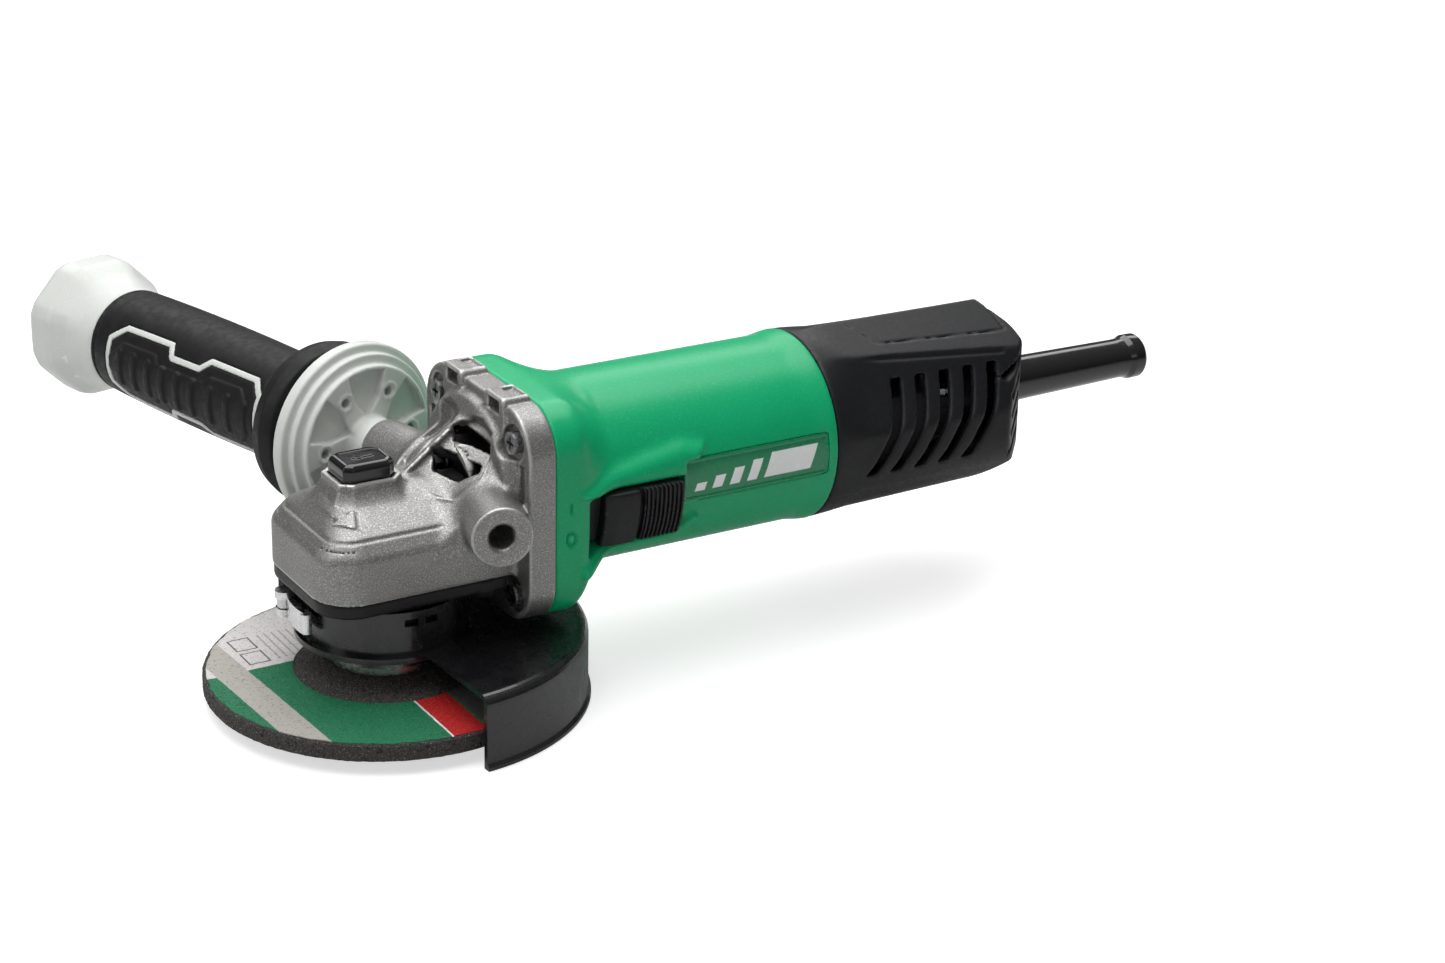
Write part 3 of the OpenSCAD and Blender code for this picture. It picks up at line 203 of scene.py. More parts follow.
def surface(field, low, high, cell):
    """Points (mm) and quads of a field's zero surface, one point per crossed grid cell."""
    axes = [np.arange(a, b + cell, cell, dtype=np.float32) for a, b in zip(low, high)]
    grid = np.meshgrid(*axes, indexing="ij", sparse=True)
    d = np.broadcast_to(field(*grid), [len(a) for a in axes])
    n = d.shape
    inside = d < 0
    windows = [tuple(slice(c, m - 1 + c) for c, m in zip(shift, n)) for shift in CORNERS]
    count = sum(inside[w].astype(np.int8) for w in windows)
    crossed = (count > 0) & (count < 8)
    at = np.argwhere(crossed)
    values = [d[w][crossed] for w in windows]
    total, hits = np.zeros((len(at), 3)), np.zeros(len(at))
    for a, b in EDGES:
        va, vb = values[a], values[b]
        hit = (va < 0) != (vb < 0)
        t = np.where(hit, va / np.where(hit, va - vb, 1), 0)[:, None]
        start, step = np.array(CORNERS[a]), np.array(CORNERS[b]) - np.array(CORNERS[a])
        total += (start + t * step) * hit[:, None]
        hits += hit
    points = np.array([a[0] for a in axes]) + (at + total / hits[:, None]) * cell
    number = np.full(crossed.shape, -1, np.int64)
    number[crossed] = np.arange(len(at))
    quads = []
    for axis in range(3):
        u, v = (axis + 1) % 3, (axis + 2) % 3
        one, two = [slice(1, -1)] * 3, [slice(1, -1)] * 3
        one[axis], two[axis] = slice(0, -1), slice(1, None)
        a, b = inside[tuple(one)], inside[tuple(two)]
        leaving = a[a != b]
        offset = np.ones(3, int)
        offset[axis] = 0
        where = np.argwhere(a != b) + offset
        ring = []
        for du, dv in ((-1, -1), (0, -1), (0, 0), (-1, 0)):
            cell_at = where.copy()
            cell_at[:, u] += du
            cell_at[:, v] += dv
            ring.append(number[tuple(cell_at.T)])
        ring = np.stack(ring, 1)
        ring[~leaving] = ring[~leaving][:, ::-1]
        quads.append(ring)
    return pull(points, field, cell), np.concatenate(quads)


def pull(points, field, cell, rounds=4):
    """Moves points onto the field's zero surface."""
    reach, h = cell * 0.6, 0.04
    start = points.copy()
    for _ in range(rounds):
        x, y, z = points.T
        value = field(x, y, z)
        slope = np.stack([field(x + h, y, z) - field(x - h, y, z),
                          field(x, y + h, z) - field(x, y - h, z),
                          field(x, y, z + h) - field(x, y, z - h)], 1) / (2 * h)
        size = np.maximum((slope ** 2).sum(1), 0.05)
        points = points - np.clip(value / size, -reach, reach)[:, None] * slope
        points = start + np.clip(points - start, -cell, cell)
    return points


# ---- meshes

def add(name, data):
    """A new object in the scene."""
    thing = bpy.data.objects.new(name, data)
    bpy.context.scene.collection.objects.link(thing)
    return thing


def make(name, points, faces, body, slot, nodes=(), smooth=math.radians(50)):
    """A piece from points in millimetres that rides on a body, if one is given."""
    mesh = bpy.data.meshes.new(name)
    mesh.from_pydata((np.asarray(points) * MM).tolist(), [], [list(map(int, f)) for f in faces])
    mesh.validate()
    bm = bmesh.new()
    bm.from_mesh(mesh)
    bmesh.ops.remove_doubles(bm, verts=bm.verts, dist=1e-6)
    bmesh.ops.recalc_face_normals(bm, faces=bm.faces)
    bm.to_mesh(mesh)
    bm.free()
    mesh.polygons.foreach_set("use_smooth", [True] * len(mesh.polygons))
    mesh.set_sharp_from_angle(angle=smooth)
    mesh.materials.append(FINISH[slot])
    piece = add(name, mesh)
    if body:
        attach(piece, body)
    if nodes:
        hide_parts(*nodes)
    return piece


def shell(name, field, low, high, cell, body, slot, nodes=()):
    """A piece meshed from a distance field between two corners."""
    pad = 2.5 * cell
    points, quads = surface(field, np.array(low) - pad, np.array(high) + pad, cell)
    make(name, points, quads, body, slot, nodes, math.radians(60))


def fillet(corners, radius, steps=5):
    """A closed outline with its corners rounded."""
    result, count = [], len(corners)
    for i, (x, y) in enumerate(corners):
        p = np.array((x, y), float)
        a = np.array(corners[i - 1], float) - p
        b = np.array(corners[(i + 1) % count], float) - p
        la, lb = np.linalg.norm(a), np.linalg.norm(b)
        a, b = a / la, b / lb
        bend = math.acos(np.clip(a @ b, -1, 1))
        if bend > math.pi - 0.02 or bend < 0.02:
            result.append(tuple(p))
            continue
        back = min(radius / math.tan(bend / 2), la * 0.48, lb * 0.48)
        r = back * math.tan(bend / 2)
        middle_way = (a + b) / np.linalg.norm(a + b)
        centre = p + middle_way * (r / math.sin(bend / 2))
        first, last = p + a * back - centre, p + b * back - centre
        turn = math.atan2(first[0] * last[1] - first[1] * last[0], first @ last)
        for k in range(steps + 1):
            angle = turn * k / steps
            c, s = math.cos(angle), math.sin(angle)
            result.append((centre[0] + c * first[0] - s * first[1],
                           centre[1] + s * first[0] + c * first[1]))
    return result


def split_long(corners, longest):
    """A closed outline with no side longer than a given length."""
    result = []
    for (x0, y0), (x1, y1) in zip(corners, corners[1:] + corners[:1]):
        n = max(1, math.ceil(math.hypot(x1 - x0, y1 - y0) / longest))
        result += [(x0 + (x1 - x0) * i / n, y0 + (y1 - y0) * i / n) for i in range(n)]
    return result


def strips(rows, count, total):
    """Quads between neighbouring rings of count points; ring numbers wrap round at total."""
    return [(i * count + j, i * count + (j + 1) % count,
             (i + 1) % total * count + (j + 1) % count, (i + 1) % total * count + j)
            for i in range(rows) for j in range(count)]


def lathe(profile, steps, place, shape=None):
    """Turns a closed (radius, along) outline; place maps across, up and along to the frame."""
    points = []
    for i in range(steps):
        turn = 2 * math.pi * i / steps
        for r, s in profile:
            r, s = shape(r, s, turn) if shape else (r, s)
            points.append(place(r * math.cos(turn), r * math.sin(turn), s))
    return points, strips(steps, len(profile), steps)


def on_motor_axis(a, b, s):
    return (s, a, AXIS_Z + b)


def on_spindle(a, b, s):
    return (a, b, s)


def on_handle(a, b, s):
    """Handle frame: a level and across, b up, s out along the handle from the motor's axis."""
    return (HANDLE_CROSS_X + a * math.cos(HANDLE_LEAN) - s * math.sin(HANDLE_LEAN),
            a * math.sin(HANDLE_LEAN) + s * math.cos(HANDLE_LEAN), AXIS_Z + b)


def in_handle(x, y, z, side=1):
    """The handle frame's coordinates of a point; side -1 is the free boss."""
    dx, dy = x - HANDLE_CROSS_X, y * side
    return (dx * math.cos(HANDLE_LEAN) + dy * math.sin(HANDLE_LEAN), z - AXIS_Z,
            -dx * math.sin(HANDLE_LEAN) + dy * math.cos(HANDLE_LEAN))


# ---- finishes

MIX_A, MIX_B, MIX_RESULT = 6, 7, 2     # a Mix node's colour sockets, in the order it keeps them


def fill(node, values):
    """Sets a node's unlinked inputs."""
    for socket, value in values.items():
        node.inputs[socket].default_value = value


class Finish:
    """A procedural material: a Principled shader and the small textures that feed it."""

    def __init__(self, name, colour, rough, metal=0.0, coat=0.0, coat_rough=0.1, specular=0.5):
        self.material = bpy.data.materials.new(name)
        self.material.use_nodes = True
        self.nodes = self.material.node_tree.nodes
        self.links = self.material.node_tree.links
        self.shader = self.nodes["Principled BSDF"]
        fill(self.shader, {"Base Color": (*colour, 1), "Roughness": rough, "Metallic": metal,
                           "Coat Weight": coat, "Coat Roughness": coat_rough,
                           "Specular IOR Level": specular})
        self.place = self.nodes.new("ShaderNodeTexCoord").outputs["Object"]
        self.colour = None
        self.normal = None

    def node(self, kind, **values):
        node = self.nodes.new(kind)
        for name, value in values.items():
            setattr(node, name, value)
        return node

    def feed(self, socket, value):
        if hasattr(value, "is_linked"):
            self.links.new(value, socket)
        else:
            socket.default_value = value

    def noise(self, size_mm, detail=2.0, stretch=(1, 1, 1)):
        """Soft noise whose spots are about size_mm across."""
        where = self.place
        if stretch != (1, 1, 1):
            mapping = self.node("ShaderNodeMapping")
            mapping.inputs["Scale"].default_value = stretch
            self.links.new(self.place, mapping.inputs["Vector"])
            where = mapping.outputs["Vector"]
        noise = self.node("ShaderNodeTexNoise")
        fill(noise, {"Scale": 1 / (size_mm * MM), "Detail": detail})
        self.links.new(where, noise.inputs["Vector"])
        return noise.outputs["Fac"]

    def cells(self, size_mm):
        cells = self.node("ShaderNodeTexVoronoi")
        cells.inputs["Scale"].default_value = 1 / (size_mm * MM)
        self.links.new(self.place, cells.inputs["Vector"])
        return cells.outputs["Distance"]

    def remap(self, value, low, high, to_low=0.0, to_high=1.0):
        node = self.node("ShaderNodeMapRange", interpolation_type="SMOOTHSTEP")
        self.links.new(value, node.inputs["Value"])
        fill(node, {"From Min": low, "From Max": high, "To Min": to_low, "To Max": to_high})
        return node.outputs["Result"]

    def math(self, operation, a, b=0.0, c=0.0):
        node = self.node("ShaderNodeMath", operation=operation)
        for socket, value in zip(node.inputs, (a, b, c)):
            self.feed(socket, value)
        return node.outputs["Value"]

    def times(self, a, b):
        return self.math("MULTIPLY", a, b)

    def between(self, value, low, high, soft=0.12):
        """1 where a value lies between two limits."""
        rise = self.remap(value, low - soft, low + soft)
        return self.times(rise, self.remap(value, high - soft, high + soft, 1, 0))

    def axis(self, letter):
        split = self.node("ShaderNodeSeparateXYZ")
        self.links.new(self.place, split.inputs["Vector"])
        return self.times(split.outputs[letter], 1 / MM)

    def tint(self, mask, colour):
        """Paints a colour over what the base colour is so far, where the mask is 1."""
        mix = self.node("ShaderNodeMix", data_type="RGBA")
        self.feed(mix.inputs["Factor"], mask)
        before = self.colour if self.colour else self.shader.inputs["Base Color"].default_value[:]
        self.feed(mix.inputs[MIX_A], before)
        mix.inputs[MIX_B].default_value = (*colour, 1)
        self.colour = mix.outputs[MIX_RESULT]
        self.links.new(self.colour, self.shader.inputs["Base Color"])

    def stain(self, size_mm, detail, low, high, amount, colour, stretch=(1, 1, 1)):
        """Tints the spots where a noise is high."""
        spots = self.remap(self.noise(size_mm, detail, stretch), low, high, 0, amount)
        self.tint(spots, colour)

    def roughness(self, value):
        self.links.new(value, self.shader.inputs["Roughness"])

    def uneven(self, size_mm, detail, low, high):
        """Roughness that wanders between two values."""
        self.roughness(self.remap(self.noise(size_mm, detail), 0.3, 0.7, low, high))

    def bump(self, height, depth_mm, strength=1.0):
        bump = self.node("ShaderNodeBump")
        fill(bump, {"Strength": strength, "Distance": depth_mm * MM})
        self.links.new(height, bump.inputs["Height"])
        if self.normal:
            self.links.new(self.normal, bump.inputs["Normal"])
        self.normal = bump.outputs["Normal"]
        self.links.new(self.normal, self.shader.inputs["Normal"])
        return self

    def edges(self, low=0.52, high=0.6):
        """1 on the part's sharp outer edges, where handling wears it."""
        return self.remap(self.node("ShaderNodeNewGeometry").outputs["Pointiness"], low, high)


def cast_aluminium():
    """Blasted casting: matt and speckled, with painted shade darkening the inside of the air way."""
    f = Finish("cast_aluminium", (0.28, 0.275, 0.268), 0.42, metal=0.88)
    f.stain(12, 2, 0.35, 0.7, 0.5, (0.23, 0.227, 0.22))
    f.stain(0.5, 2, 0.5, 0.68, 0.75, (0.54, 0.535, 0.52))
    f.stain(0.42, 2, 0.52, 0.7, 0.6, (0.09, 0.09, 0.088), (1, 1.1, 0.9))
    f.tint(f.edges(0.515, 0.57), (0.60, 0.595, 0.58))
    f.uneven(0.6, 3, 0.40, 0.56)
    # Painted shade: a mask of the air way behind the neck windows (behind the face plane, within the
    # funnel, above the axis) tints its inner faces near black.
    x, z = f.axis("X"), f.math("SUBTRACT", f.axis("Z"), AXIS_Z)
    side = f.math("ABSOLUTE", f.axis("Y"))
    rise = f.math("MULTIPLY_ADD", f.math("SUBTRACT", z, NECK_AT[2]), NECK_NORMAL[2],
                  f.times(f.math("SUBTRACT", x, NECK_AT[0]), NECK_NORMAL[0]))
    face = f.math("MULTIPLY_ADD", side, NECK_NORMAL[1], rise)
    far = f.math("SQRT", f.math("MULTIPLY_ADD", side, side, f.times(z, z)))
    depth = f.math("SUBTRACT", x, AIRWAY_FRONT)
    reach = f.math("MULTIPLY_ADD", depth, AIRWAY_FLARE, AIRWAY_R + 0.6)
    inside = f.times(f.remap(face, -3.0, -4.2), f.math("LESS_THAN", far, reach))
    inside = f.times(inside, f.remap(z, 0.5, 1.0))
    f.tint(inside, (0.006, 0.006, 0.006))
    return f.bump(f.noise(0.5, 3), 0.10, 0.8).bump(f.noise(5, 2), 0.15, 0.3)


def moulded(name, colour, light, rough, grain_mm=0.45, depth_mm=0.03, coat=0.0, dark=None):
    """Moulded plastic with a fine spark-eroded grain and slightly polished edges."""
    f = Finish(name, colour, rough, coat=coat, coat_rough=0.25, specular=0.28)
    f.stain(28, 2, 0.35, 0.7, 0.35, dark or [c * 0.82 for c in colour])
    f.stain(grain_mm, 2, 0.5, 0.75, 0.35, light)
    f.tint(f.edges(0.53, 0.6), light)
    f.uneven(1.4, 3, rough - 0.05, rough + 0.07)
    return f.bump(f.noise(grain_mm, 2), depth_mm, 0.7)


def rubber(name, colour, rough, grain_mm=0.6):
    f = Finish(name, colour, rough, specular=0.24)
    f.stain(9, 4, 0.45, 0.75, 0.5, [c * 1.5 + 0.006 for c in colour])
    f.stain(1.1, 5, 0.6, 0.8, 0.35, [c * 2 + 0.012 for c in colour])
    f.uneven(3, 3, rough - 0.08, rough + 0.08)
    return f.bump(f.noise(grain_mm, 3), 0.03, 0.6)


def gloss(name, colour, rough):
    """Smooth moulded or painted surface with faint orange peel."""
    f = Finish(name, colour, rough, coat=0.35, coat_rough=0.06)
    f.stain(0.5, 5, 0.66, 0.8, 0.25, [c + 0.02 for c in colour])
    f.uneven(6, 4, max(rough - 0.05, 0.03), rough + 0.06)
    return f.bump(f.noise(2.2, 2), 0.01, 0.1)


def metal(name, colour, rough, brush=None, worn=0.5):
    """Machined or ground metal with fine tool marks."""
    f = Finish(name, colour, rough, metal=1.0)
    f.stain(5, 4, 0.4, 0.75, worn, [c * 0.62 for c in colour])
    f.tint(f.edges(0.53, 0.62), [min(1, c * 1.3) for c in colour])
    f.uneven(1.6, 4, rough - 0.06, rough + 0.1)
    return f.bump(f.noise(0.35, 2, brush or (1, 1, 1)), 0.012, 0.5)


def copper_wire():
    f = Finish("copper_wire", (0.72, 0.30, 0.13), 0.28, metal=1.0, coat=0.5, coat_rough=0.15)
    strands = f.math("SINE", f.times(f.axis("Z"), 2 * math.pi / 0.7))
    f.tint(f.remap(strands, -0.2, -1, 0, 0.8), (0.20, 0.06, 0.02))
    f.stain(3, 2, 0.5, 0.8, 0.5, (0.85, 0.42, 0.2))
    return f.bump(strands, 0.2, 0.6)


def stacked_sheets():
    """Thin electrical steel sheets stacked along the motor axis."""
    f = Finish("stacked_sheets", (0.30, 0.30, 0.31), 0.38, metal=0.9)
    sheets = f.math("SINE", f.times(f.axis("X"), 2 * math.pi / 0.6))
    f.tint(f.remap(sheets, 0.2, -1, 0, 0.7), (0.10, 0.09, 0.085))
    f.stain(4, 4, 0.55, 0.8, 0.4, (0.42, 0.36, 0.30))
    return f.bump(sheets, 0.05, 0.5)


def circuit_board():
    f = Finish("circuit_board", (0.015, 0.16, 0.06), 0.35, coat=0.3)
    tracks = f.math("SINE", f.times(f.axis("Z"), 2 * math.pi / 2.6))
    f.tint(f.remap(tracks, 0.55, 0.75, 0, 0.7), (0.05, 0.28, 0.10))
    f.tint(f.remap(f.cells(4.0), 0.13, 0.1), (0.62, 0.60, 0.55))
    return f.bump(tracks, 0.03, 0.4)


def abrasive():
    """Bonded grit: dark resin with pale and rusty grains."""
    f = Finish("abrasive_grit", (0.045, 0.041, 0.038), 0.82)
    f.tint(f.remap(f.cells(0.85), 0.34, 0.2, 0, 0.85), (0.10, 0.092, 0.085))
    speck = f.noise(0.55, 3)
    f.tint(f.remap(speck, 0.62, 0.72), (0.30, 0.28, 0.26))
    f.tint(f.remap(f.noise(0.8, 3, (1.3, 0.9, 1.1)), 0.67, 0.75), (0.34, 0.17, 0.09))
    f.stain(1.3, 2, 0.56, 0.7, 0.9, (0.008, 0.008, 0.008))
    f.roughness(f.remap(speck, 0.55, 0.75, 0.9, 0.45))
    return f.bump(f.cells(0.85), 0.5, 0.9).bump(f.noise(0.4, 3), 0.2, 0.7)


def wheel_print():
    """Printed paper of the wheel: coloured fields, a stripe and two plain symbol frames."""
    f = Finish("wheel_print", (0.002, 0.15, 0.062), 0.7)
    x, y = f.axis("X"), f.axis("Y")
    lean = f.math("MULTIPLY_ADD", y, 0.055, x)
    pale, sand, line = (0.62, 0.60, 0.59), (0.40, 0.385, 0.35), 0.6
    above = f.remap(y, 15.9, 16.1)
    f.tint(f.times(above, f.remap(x, 9, 8)), pale)
    f.tint(f.remap(x, 8.5, 8.9), (0.07, 0.072, 0.07))
    f.tint(f.between(lean, -54.6, -43.3), sand)
    near_end = f.remap(y, -30, -30.3)
    red_far = f.times(f.remap(y, 47, 47.3), f.between(x, -10.5, 2.2))
    red_near = f.times(near_end, f.between(x, -4.3, 7.8))
    f.tint(f.math("MAXIMUM", red_far, red_near), (0.46, 0.004, 0.004))
    f.tint(f.times(near_end, f.between(x, -5.0, -4.3, 0.08)), (0.75, 0.75, 0.73))
    for low, high in ((19.5, 29.0), (31.0, 40.5)):
        outer = f.times(f.between(y, low, high), f.between(x, -42.0, -34.0))
        inner = f.times(f.between(y, low + line, high - line),
                        f.between(x, -42.0 + line, -34.0 - line))
        f.tint(f.math("SUBTRACT", outer, inner), (0.10, 0.07, 0.09))
    rows = f.math("PINGPONG", f.math("SUBTRACT", x, 0.4), 1.35)
    row_mask = f.times(f.remap(rows, 0.95, 1.0), f.between(x, -31.4, -12.0))
    f.tint(f.times(row_mask, f.times(f.between(y, 20, 41), 0.55)), (0.2, 0.18, 0.18))
    grain = f.noise(0.75, 4)
    f.tint(f.remap(grain, 0.56, 0.68, 0, 0.45), (0.012, 0.014, 0.013))
    f.stain(0.5, 4, 0.63, 0.72, 0.6, (0.5, 0.55, 0.5), (1, 1.2, 1))
    f.roughness(f.remap(grain, 0.3, 0.7, 0.55, 0.85))
    return f.bump(grain, 0.25, 0.8)


PLATE_BARS = [(103, 107, -1.5), (110, 114, 0), (117, 121, 1.5), (124, 128, 3), (131, 150, 4.4)]


def plate_print():
    """Name plate: plain bars in place of a name."""
    f = Finish("plate_print", (0.0005, 0.22, 0.085), 0.3, coat=0.2, coat_rough=0.1)
    x, z = f.axis("X"), f.axis("Z")
    up = f.math("SUBTRACT", z, AXIS_Z + PLATE_UP)
    lean = f.math("MULTIPLY_ADD", up, -0.36, x)
    tall = f.between(up, -4.6, 4.6)
    marks = None
    for low, high, rise in PLATE_BARS:
        bar = f.times(f.between(lean, low, high, 0.1), f.between(up, -4.4, rise, 0.1))
        marks = bar if marks is None else f.math("MAXIMUM", marks, bar)
    f.tint(f.times(marks, tall), (0.86, 0.88, 0.87))
    f.uneven(4, 4, 0.16, 0.32)
    return f.bump(f.noise(1.6), 0.01, 0.3)


LOOKS = {
    "cast_metal": (cast_aluminium,),
    "green_plastic": (moulded, (0.001, 0.38, 0.15), (0.02, 0.52, 0.26), 0.34, 0.8, 0.06, 0.1,
                      (0.0005, 0.33, 0.12)),
    "black_plastic": (moulded, (0.008, 0.0085, 0.010), (0.028, 0.029, 0.033), 0.42, 0.5, 0.04),
    "black_casting": (moulded, (0.007, 0.007, 0.008), (0.022, 0.022, 0.026), 0.38, 0.5, 0.03),
    "black_sheet": (gloss, (0.006, 0.006, 0.007), 0.27),
    "gloss_rubber": (gloss, (0.006, 0.006, 0.007), 0.14),
    "soft_rubber": (rubber, (0.008, 0.008, 0.009), 0.5),
    "pale_plastic": (moulded, (0.66, 0.68, 0.65), (0.80, 0.82, 0.79), 0.34, 0.7, 0.015, 0.1,
                     (0.60, 0.625, 0.59)),
    "plate_print": (plate_print,),
    "steel": (metal, (0.50, 0.50, 0.51), 0.3),
    "bearing_steel": (metal, (0.62, 0.62, 0.64), 0.18, None, 0.25),
    "lever_steel": (metal, (0.60, 0.60, 0.60), 0.24, (1, 1, 4)),
    "screw_steel": (metal, (0.36, 0.36, 0.37), 0.26),
    "bronze": (metal, (0.55, 0.36, 0.16), 0.35),
    "lamination": (stacked_sheets,),
    "copper": (copper_wire,),
    "carbon": (moulded, (0.03, 0.03, 0.03), (0.10, 0.10, 0.10), 0.55, 0.3),
    "circuit_board": (circuit_board,),
    "abrasive": (abrasive,),
    "wheel_print": (wheel_print,),
}
FINISH = {slot: (build(slot, *values) if values else build()).material
          for slot, (build, *values) in LOOKS.items()}


def dress_cad_nodes():
    """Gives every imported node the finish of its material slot."""
    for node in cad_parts.values():
        for place in node.material_slots:
            place.material = FINISH[place.material.name.split(".")[0]]


# ---- camera, light and floor

LIT_SPOT = (0.1, 0, 0.06)


def add_camera():
    azimuth, elevation, roll = (math.radians(a) for a in (-31.57, 22.19, 1.42))
    back = Vector((math.sin(azimuth) * math.cos(elevation),
                   -math.cos(azimuth) * math.cos(elevation), math.sin(elevation)))
    level = Vector((math.cos(azimuth), math.sin(azimuth), 0))
    rise = back.cross(level)
    right = math.cos(roll) * level + math.sin(roll) * rise
    up = math.cos(roll) * rise - math.sin(roll) * level
    camera = bpy.data.cameras.new("camera")
    camera.sensor_width = 36
    camera.lens = 74.74
    holder = add("camera", camera)
    holder.matrix_world = Matrix.Translation((-0.3883, -0.8485, 0.4575)) @ Matrix(
        (right, up, back)).transposed().to_4x4()
    bpy.context.scene.camera = holder


def add_area_light(name, place, size, power):
    light = bpy.data.lights.new(name, "AREA")
    light.shape = "RECTANGLE"
    light.size, light.size_y = size
    light.energy = power
    holder = add(name, light)
    holder.location = place
    aim = Vector(LIT_SPOT) - Vector(place)
    holder.rotation_euler = aim.to_track_quat("-Z", "Y").to_euler()


def add_studio():
    scene = bpy.context.scene
    scene.view_settings.view_transform = "Standard"
    world = bpy.data.worlds.new("studio")
    world.use_nodes = True
    scene.world = world
    nodes, links = world.node_tree.nodes, world.node_tree.links
    split = nodes.new("ShaderNodeSeparateXYZ")
    links.new(nodes.new("ShaderNodeTexCoord").outputs["Generated"], split.inputs["Vector"])
    ramp = nodes.new("ShaderNodeMapRange")
    fill(ramp, {"From Min": 0.0, "From Max": 0.9, "To Min": 0.06, "To Max": 0.30})
    links.new(split.outputs["Z"], ramp.inputs["Value"])
    seen = nodes.new("ShaderNodeLightPath").outputs["Is Camera Ray"]
    strength = nodes.new("ShaderNodeMix")
    links.new(seen, strength.inputs[0])
    links.new(ramp.outputs["Result"], strength.inputs[2])
    strength.inputs[3].default_value = 1.0
    background = nodes["Background"]
    background.inputs["Color"].default_value = (1, 1, 1, 1)
    links.new(strength.outputs[0], background.inputs["Strength"])
    add_area_light("overhead", (0.05, 0.1, 1.1), (1.5, 0.9), 15)
    add_area_light("back_strip", (0.5, 0.9, 0.8), (1.6, 0.35), 5)
    add_area_light("left_box", (-1.1, 0.1, 0.75), (0.5, 0.9), 3)
    add_area_light("front_fill", (-0.2, -1.3, 0.5), (1.2, 0.3), 1.0)


def add_floor():
    low = cad_bounds[0][2] - 0.0003
    mesh = bpy.data.meshes.new("floor")
    half = 6.0
    corners = [(x * half, y * half, low) for x, y in ((-1, -1), (1, -1), (1, 1), (-1, 1))]
    mesh.from_pydata(corners, [], [(0, 1, 2, 3)])
    floor = add("floor", mesh)
    f = Finish("floor_paper", (0.60, 0.60, 0.60), 0.8, specular=0.2)
    f.stain(300, 2, 0.3, 0.7, 0.3, (0.62, 0.62, 0.62))
    f.shader.inputs["Emission Color"].default_value = (1, 1, 1, 1)
    seen = f.node("ShaderNodeLightPath").outputs["Is Camera Ray"]
    f.feed(f.shader.inputs["Emission Strength"], f.times(seen, 0.62))
    mesh.materials.append(f.material)


dress_cad_nodes()
add_camera()
add_studio()
add_floor()


# ---- gear case

CASE_FRONT = span("gear_case")[0][0]
CASE_HALF = 29.0
CASE_CORNER = 14.0
ROOF_FOOT = -1.3
ROOF_TOP = 9.3
SHOULDER_FOOT = -6.5
FLANGE_FRONT = 35.0
FLANGE_HALF = 39.0
FLANGE_MIDDLE = -2.0
FLANGE_RISE = 38.0
FLANGE_CORNER = 16.0
LUG_Y = 15.5
BOSS_R = 10.5
BOSS_THREAD_R = 4.25
PEDESTAL_TOP = 12.5
SCREW_Y = 28
SCREWS_UP = (25, -30)

PANE = [(3, 1.6), (28.5, 1.6), (32.5, 6), (33.5, 11.3), (31.8, 17.6), (18, 24), (8, 22.5),
        (3.5, 15), (1.5, 7)]
LOWER_WINDOW = [(15.4, 1.5), (17.5, 1.9), (22, 18.4), (19.6, 20.2), (13.4, 17.1), (10.6, 6.4)]
UPPER_WINDOW = [(22.6, 4), (26.2, 1.0), (29, 2.6), (29.8, 15.1), (27.6, 17.6), (25.7, 10.3)]
ARROW = [(-20.5, 9.2), (-14, 4.9), (-14, 7.4), (3.5, 7.4), (3.5, 11), (-14, 11), (-14, 13.5)]
LUG = [(-8, 26), (-6.8, 37.3), (-5.8, 38.2), (5.8, 38.2), (6.8, 37.3), (8, 26)]


def case_outline(x, y):
    """Flat outline of the gear case; it runs on into the flange."""
    return outline(x - CASE_FRONT - 40, y, 40, CASE_HALF, CASE_CORNER)


def button_outline(x, y, grow=0.0):
    side = [(-17 - grow, 6 + grow / 2), (-14 - grow / 2, 8 + grow), (-1 + grow / 2, 8 + grow),
            (2 + grow, 5 + grow / 2)]
    return polygon(x, y, side + [(a, -b) for a, b in reversed(side)])


def case_roof(x, y, z):
    """Two side slopes and a front slope, melted together at the hips."""
    sides = plane(x, abs(y), z, (0, 25, ROOF_FOOT), (0, 0.53, 0.848))
    front = plane(x, y, z, (CASE_FRONT + 4, 0, ROOF_FOOT), (-0.70, 0, 0.72))
    return meet(meet(sides, front, 7), z - ROOF_TOP, 2.5)


def case_neck(x, y, z):
    """Sloping faces that climb from the roof to the flange, each with a framed pane."""
    side = abs(y)
    face = plane(x, side, z, NECK_AT, NECK_NORMAL)
    dome = (np.sqrt((y / 29.5) ** 2 + ((z + 2) / 34) ** 2) - 1) * 30
    neck = meet(meet(face, dome, 3), corner(-x - 2, -z - 22), 2)
    cap = meet(length(y, z) - 32.6, 30.5 - x, 3)
    neck = join(neck, cap, 1.5)
    along = 0.795 * (x - NECK_AT[0]) + 0.606 * (z - NECK_AT[2])
    across = 0.242 * (x - NECK_AT[0]) + 0.917 * side - 0.318 * (z - NECK_AT[2])
    pane = polygon(along, across, PANE)
    rim = meet(meet(pane - 1.1, -pane - 0.2), abs(face) - 0.45)
    neck = join(neck, rim, 0.8)
    neck = cut(neck, meet(pane, -face - 2.2), 0.8)
    windows = join(polygon(along, across, LOWER_WINDOW), polygon(along, across, UPPER_WINDOW))
    return cut(neck, meet(windows - 0.5, -face - 11), 0.5), face, dome


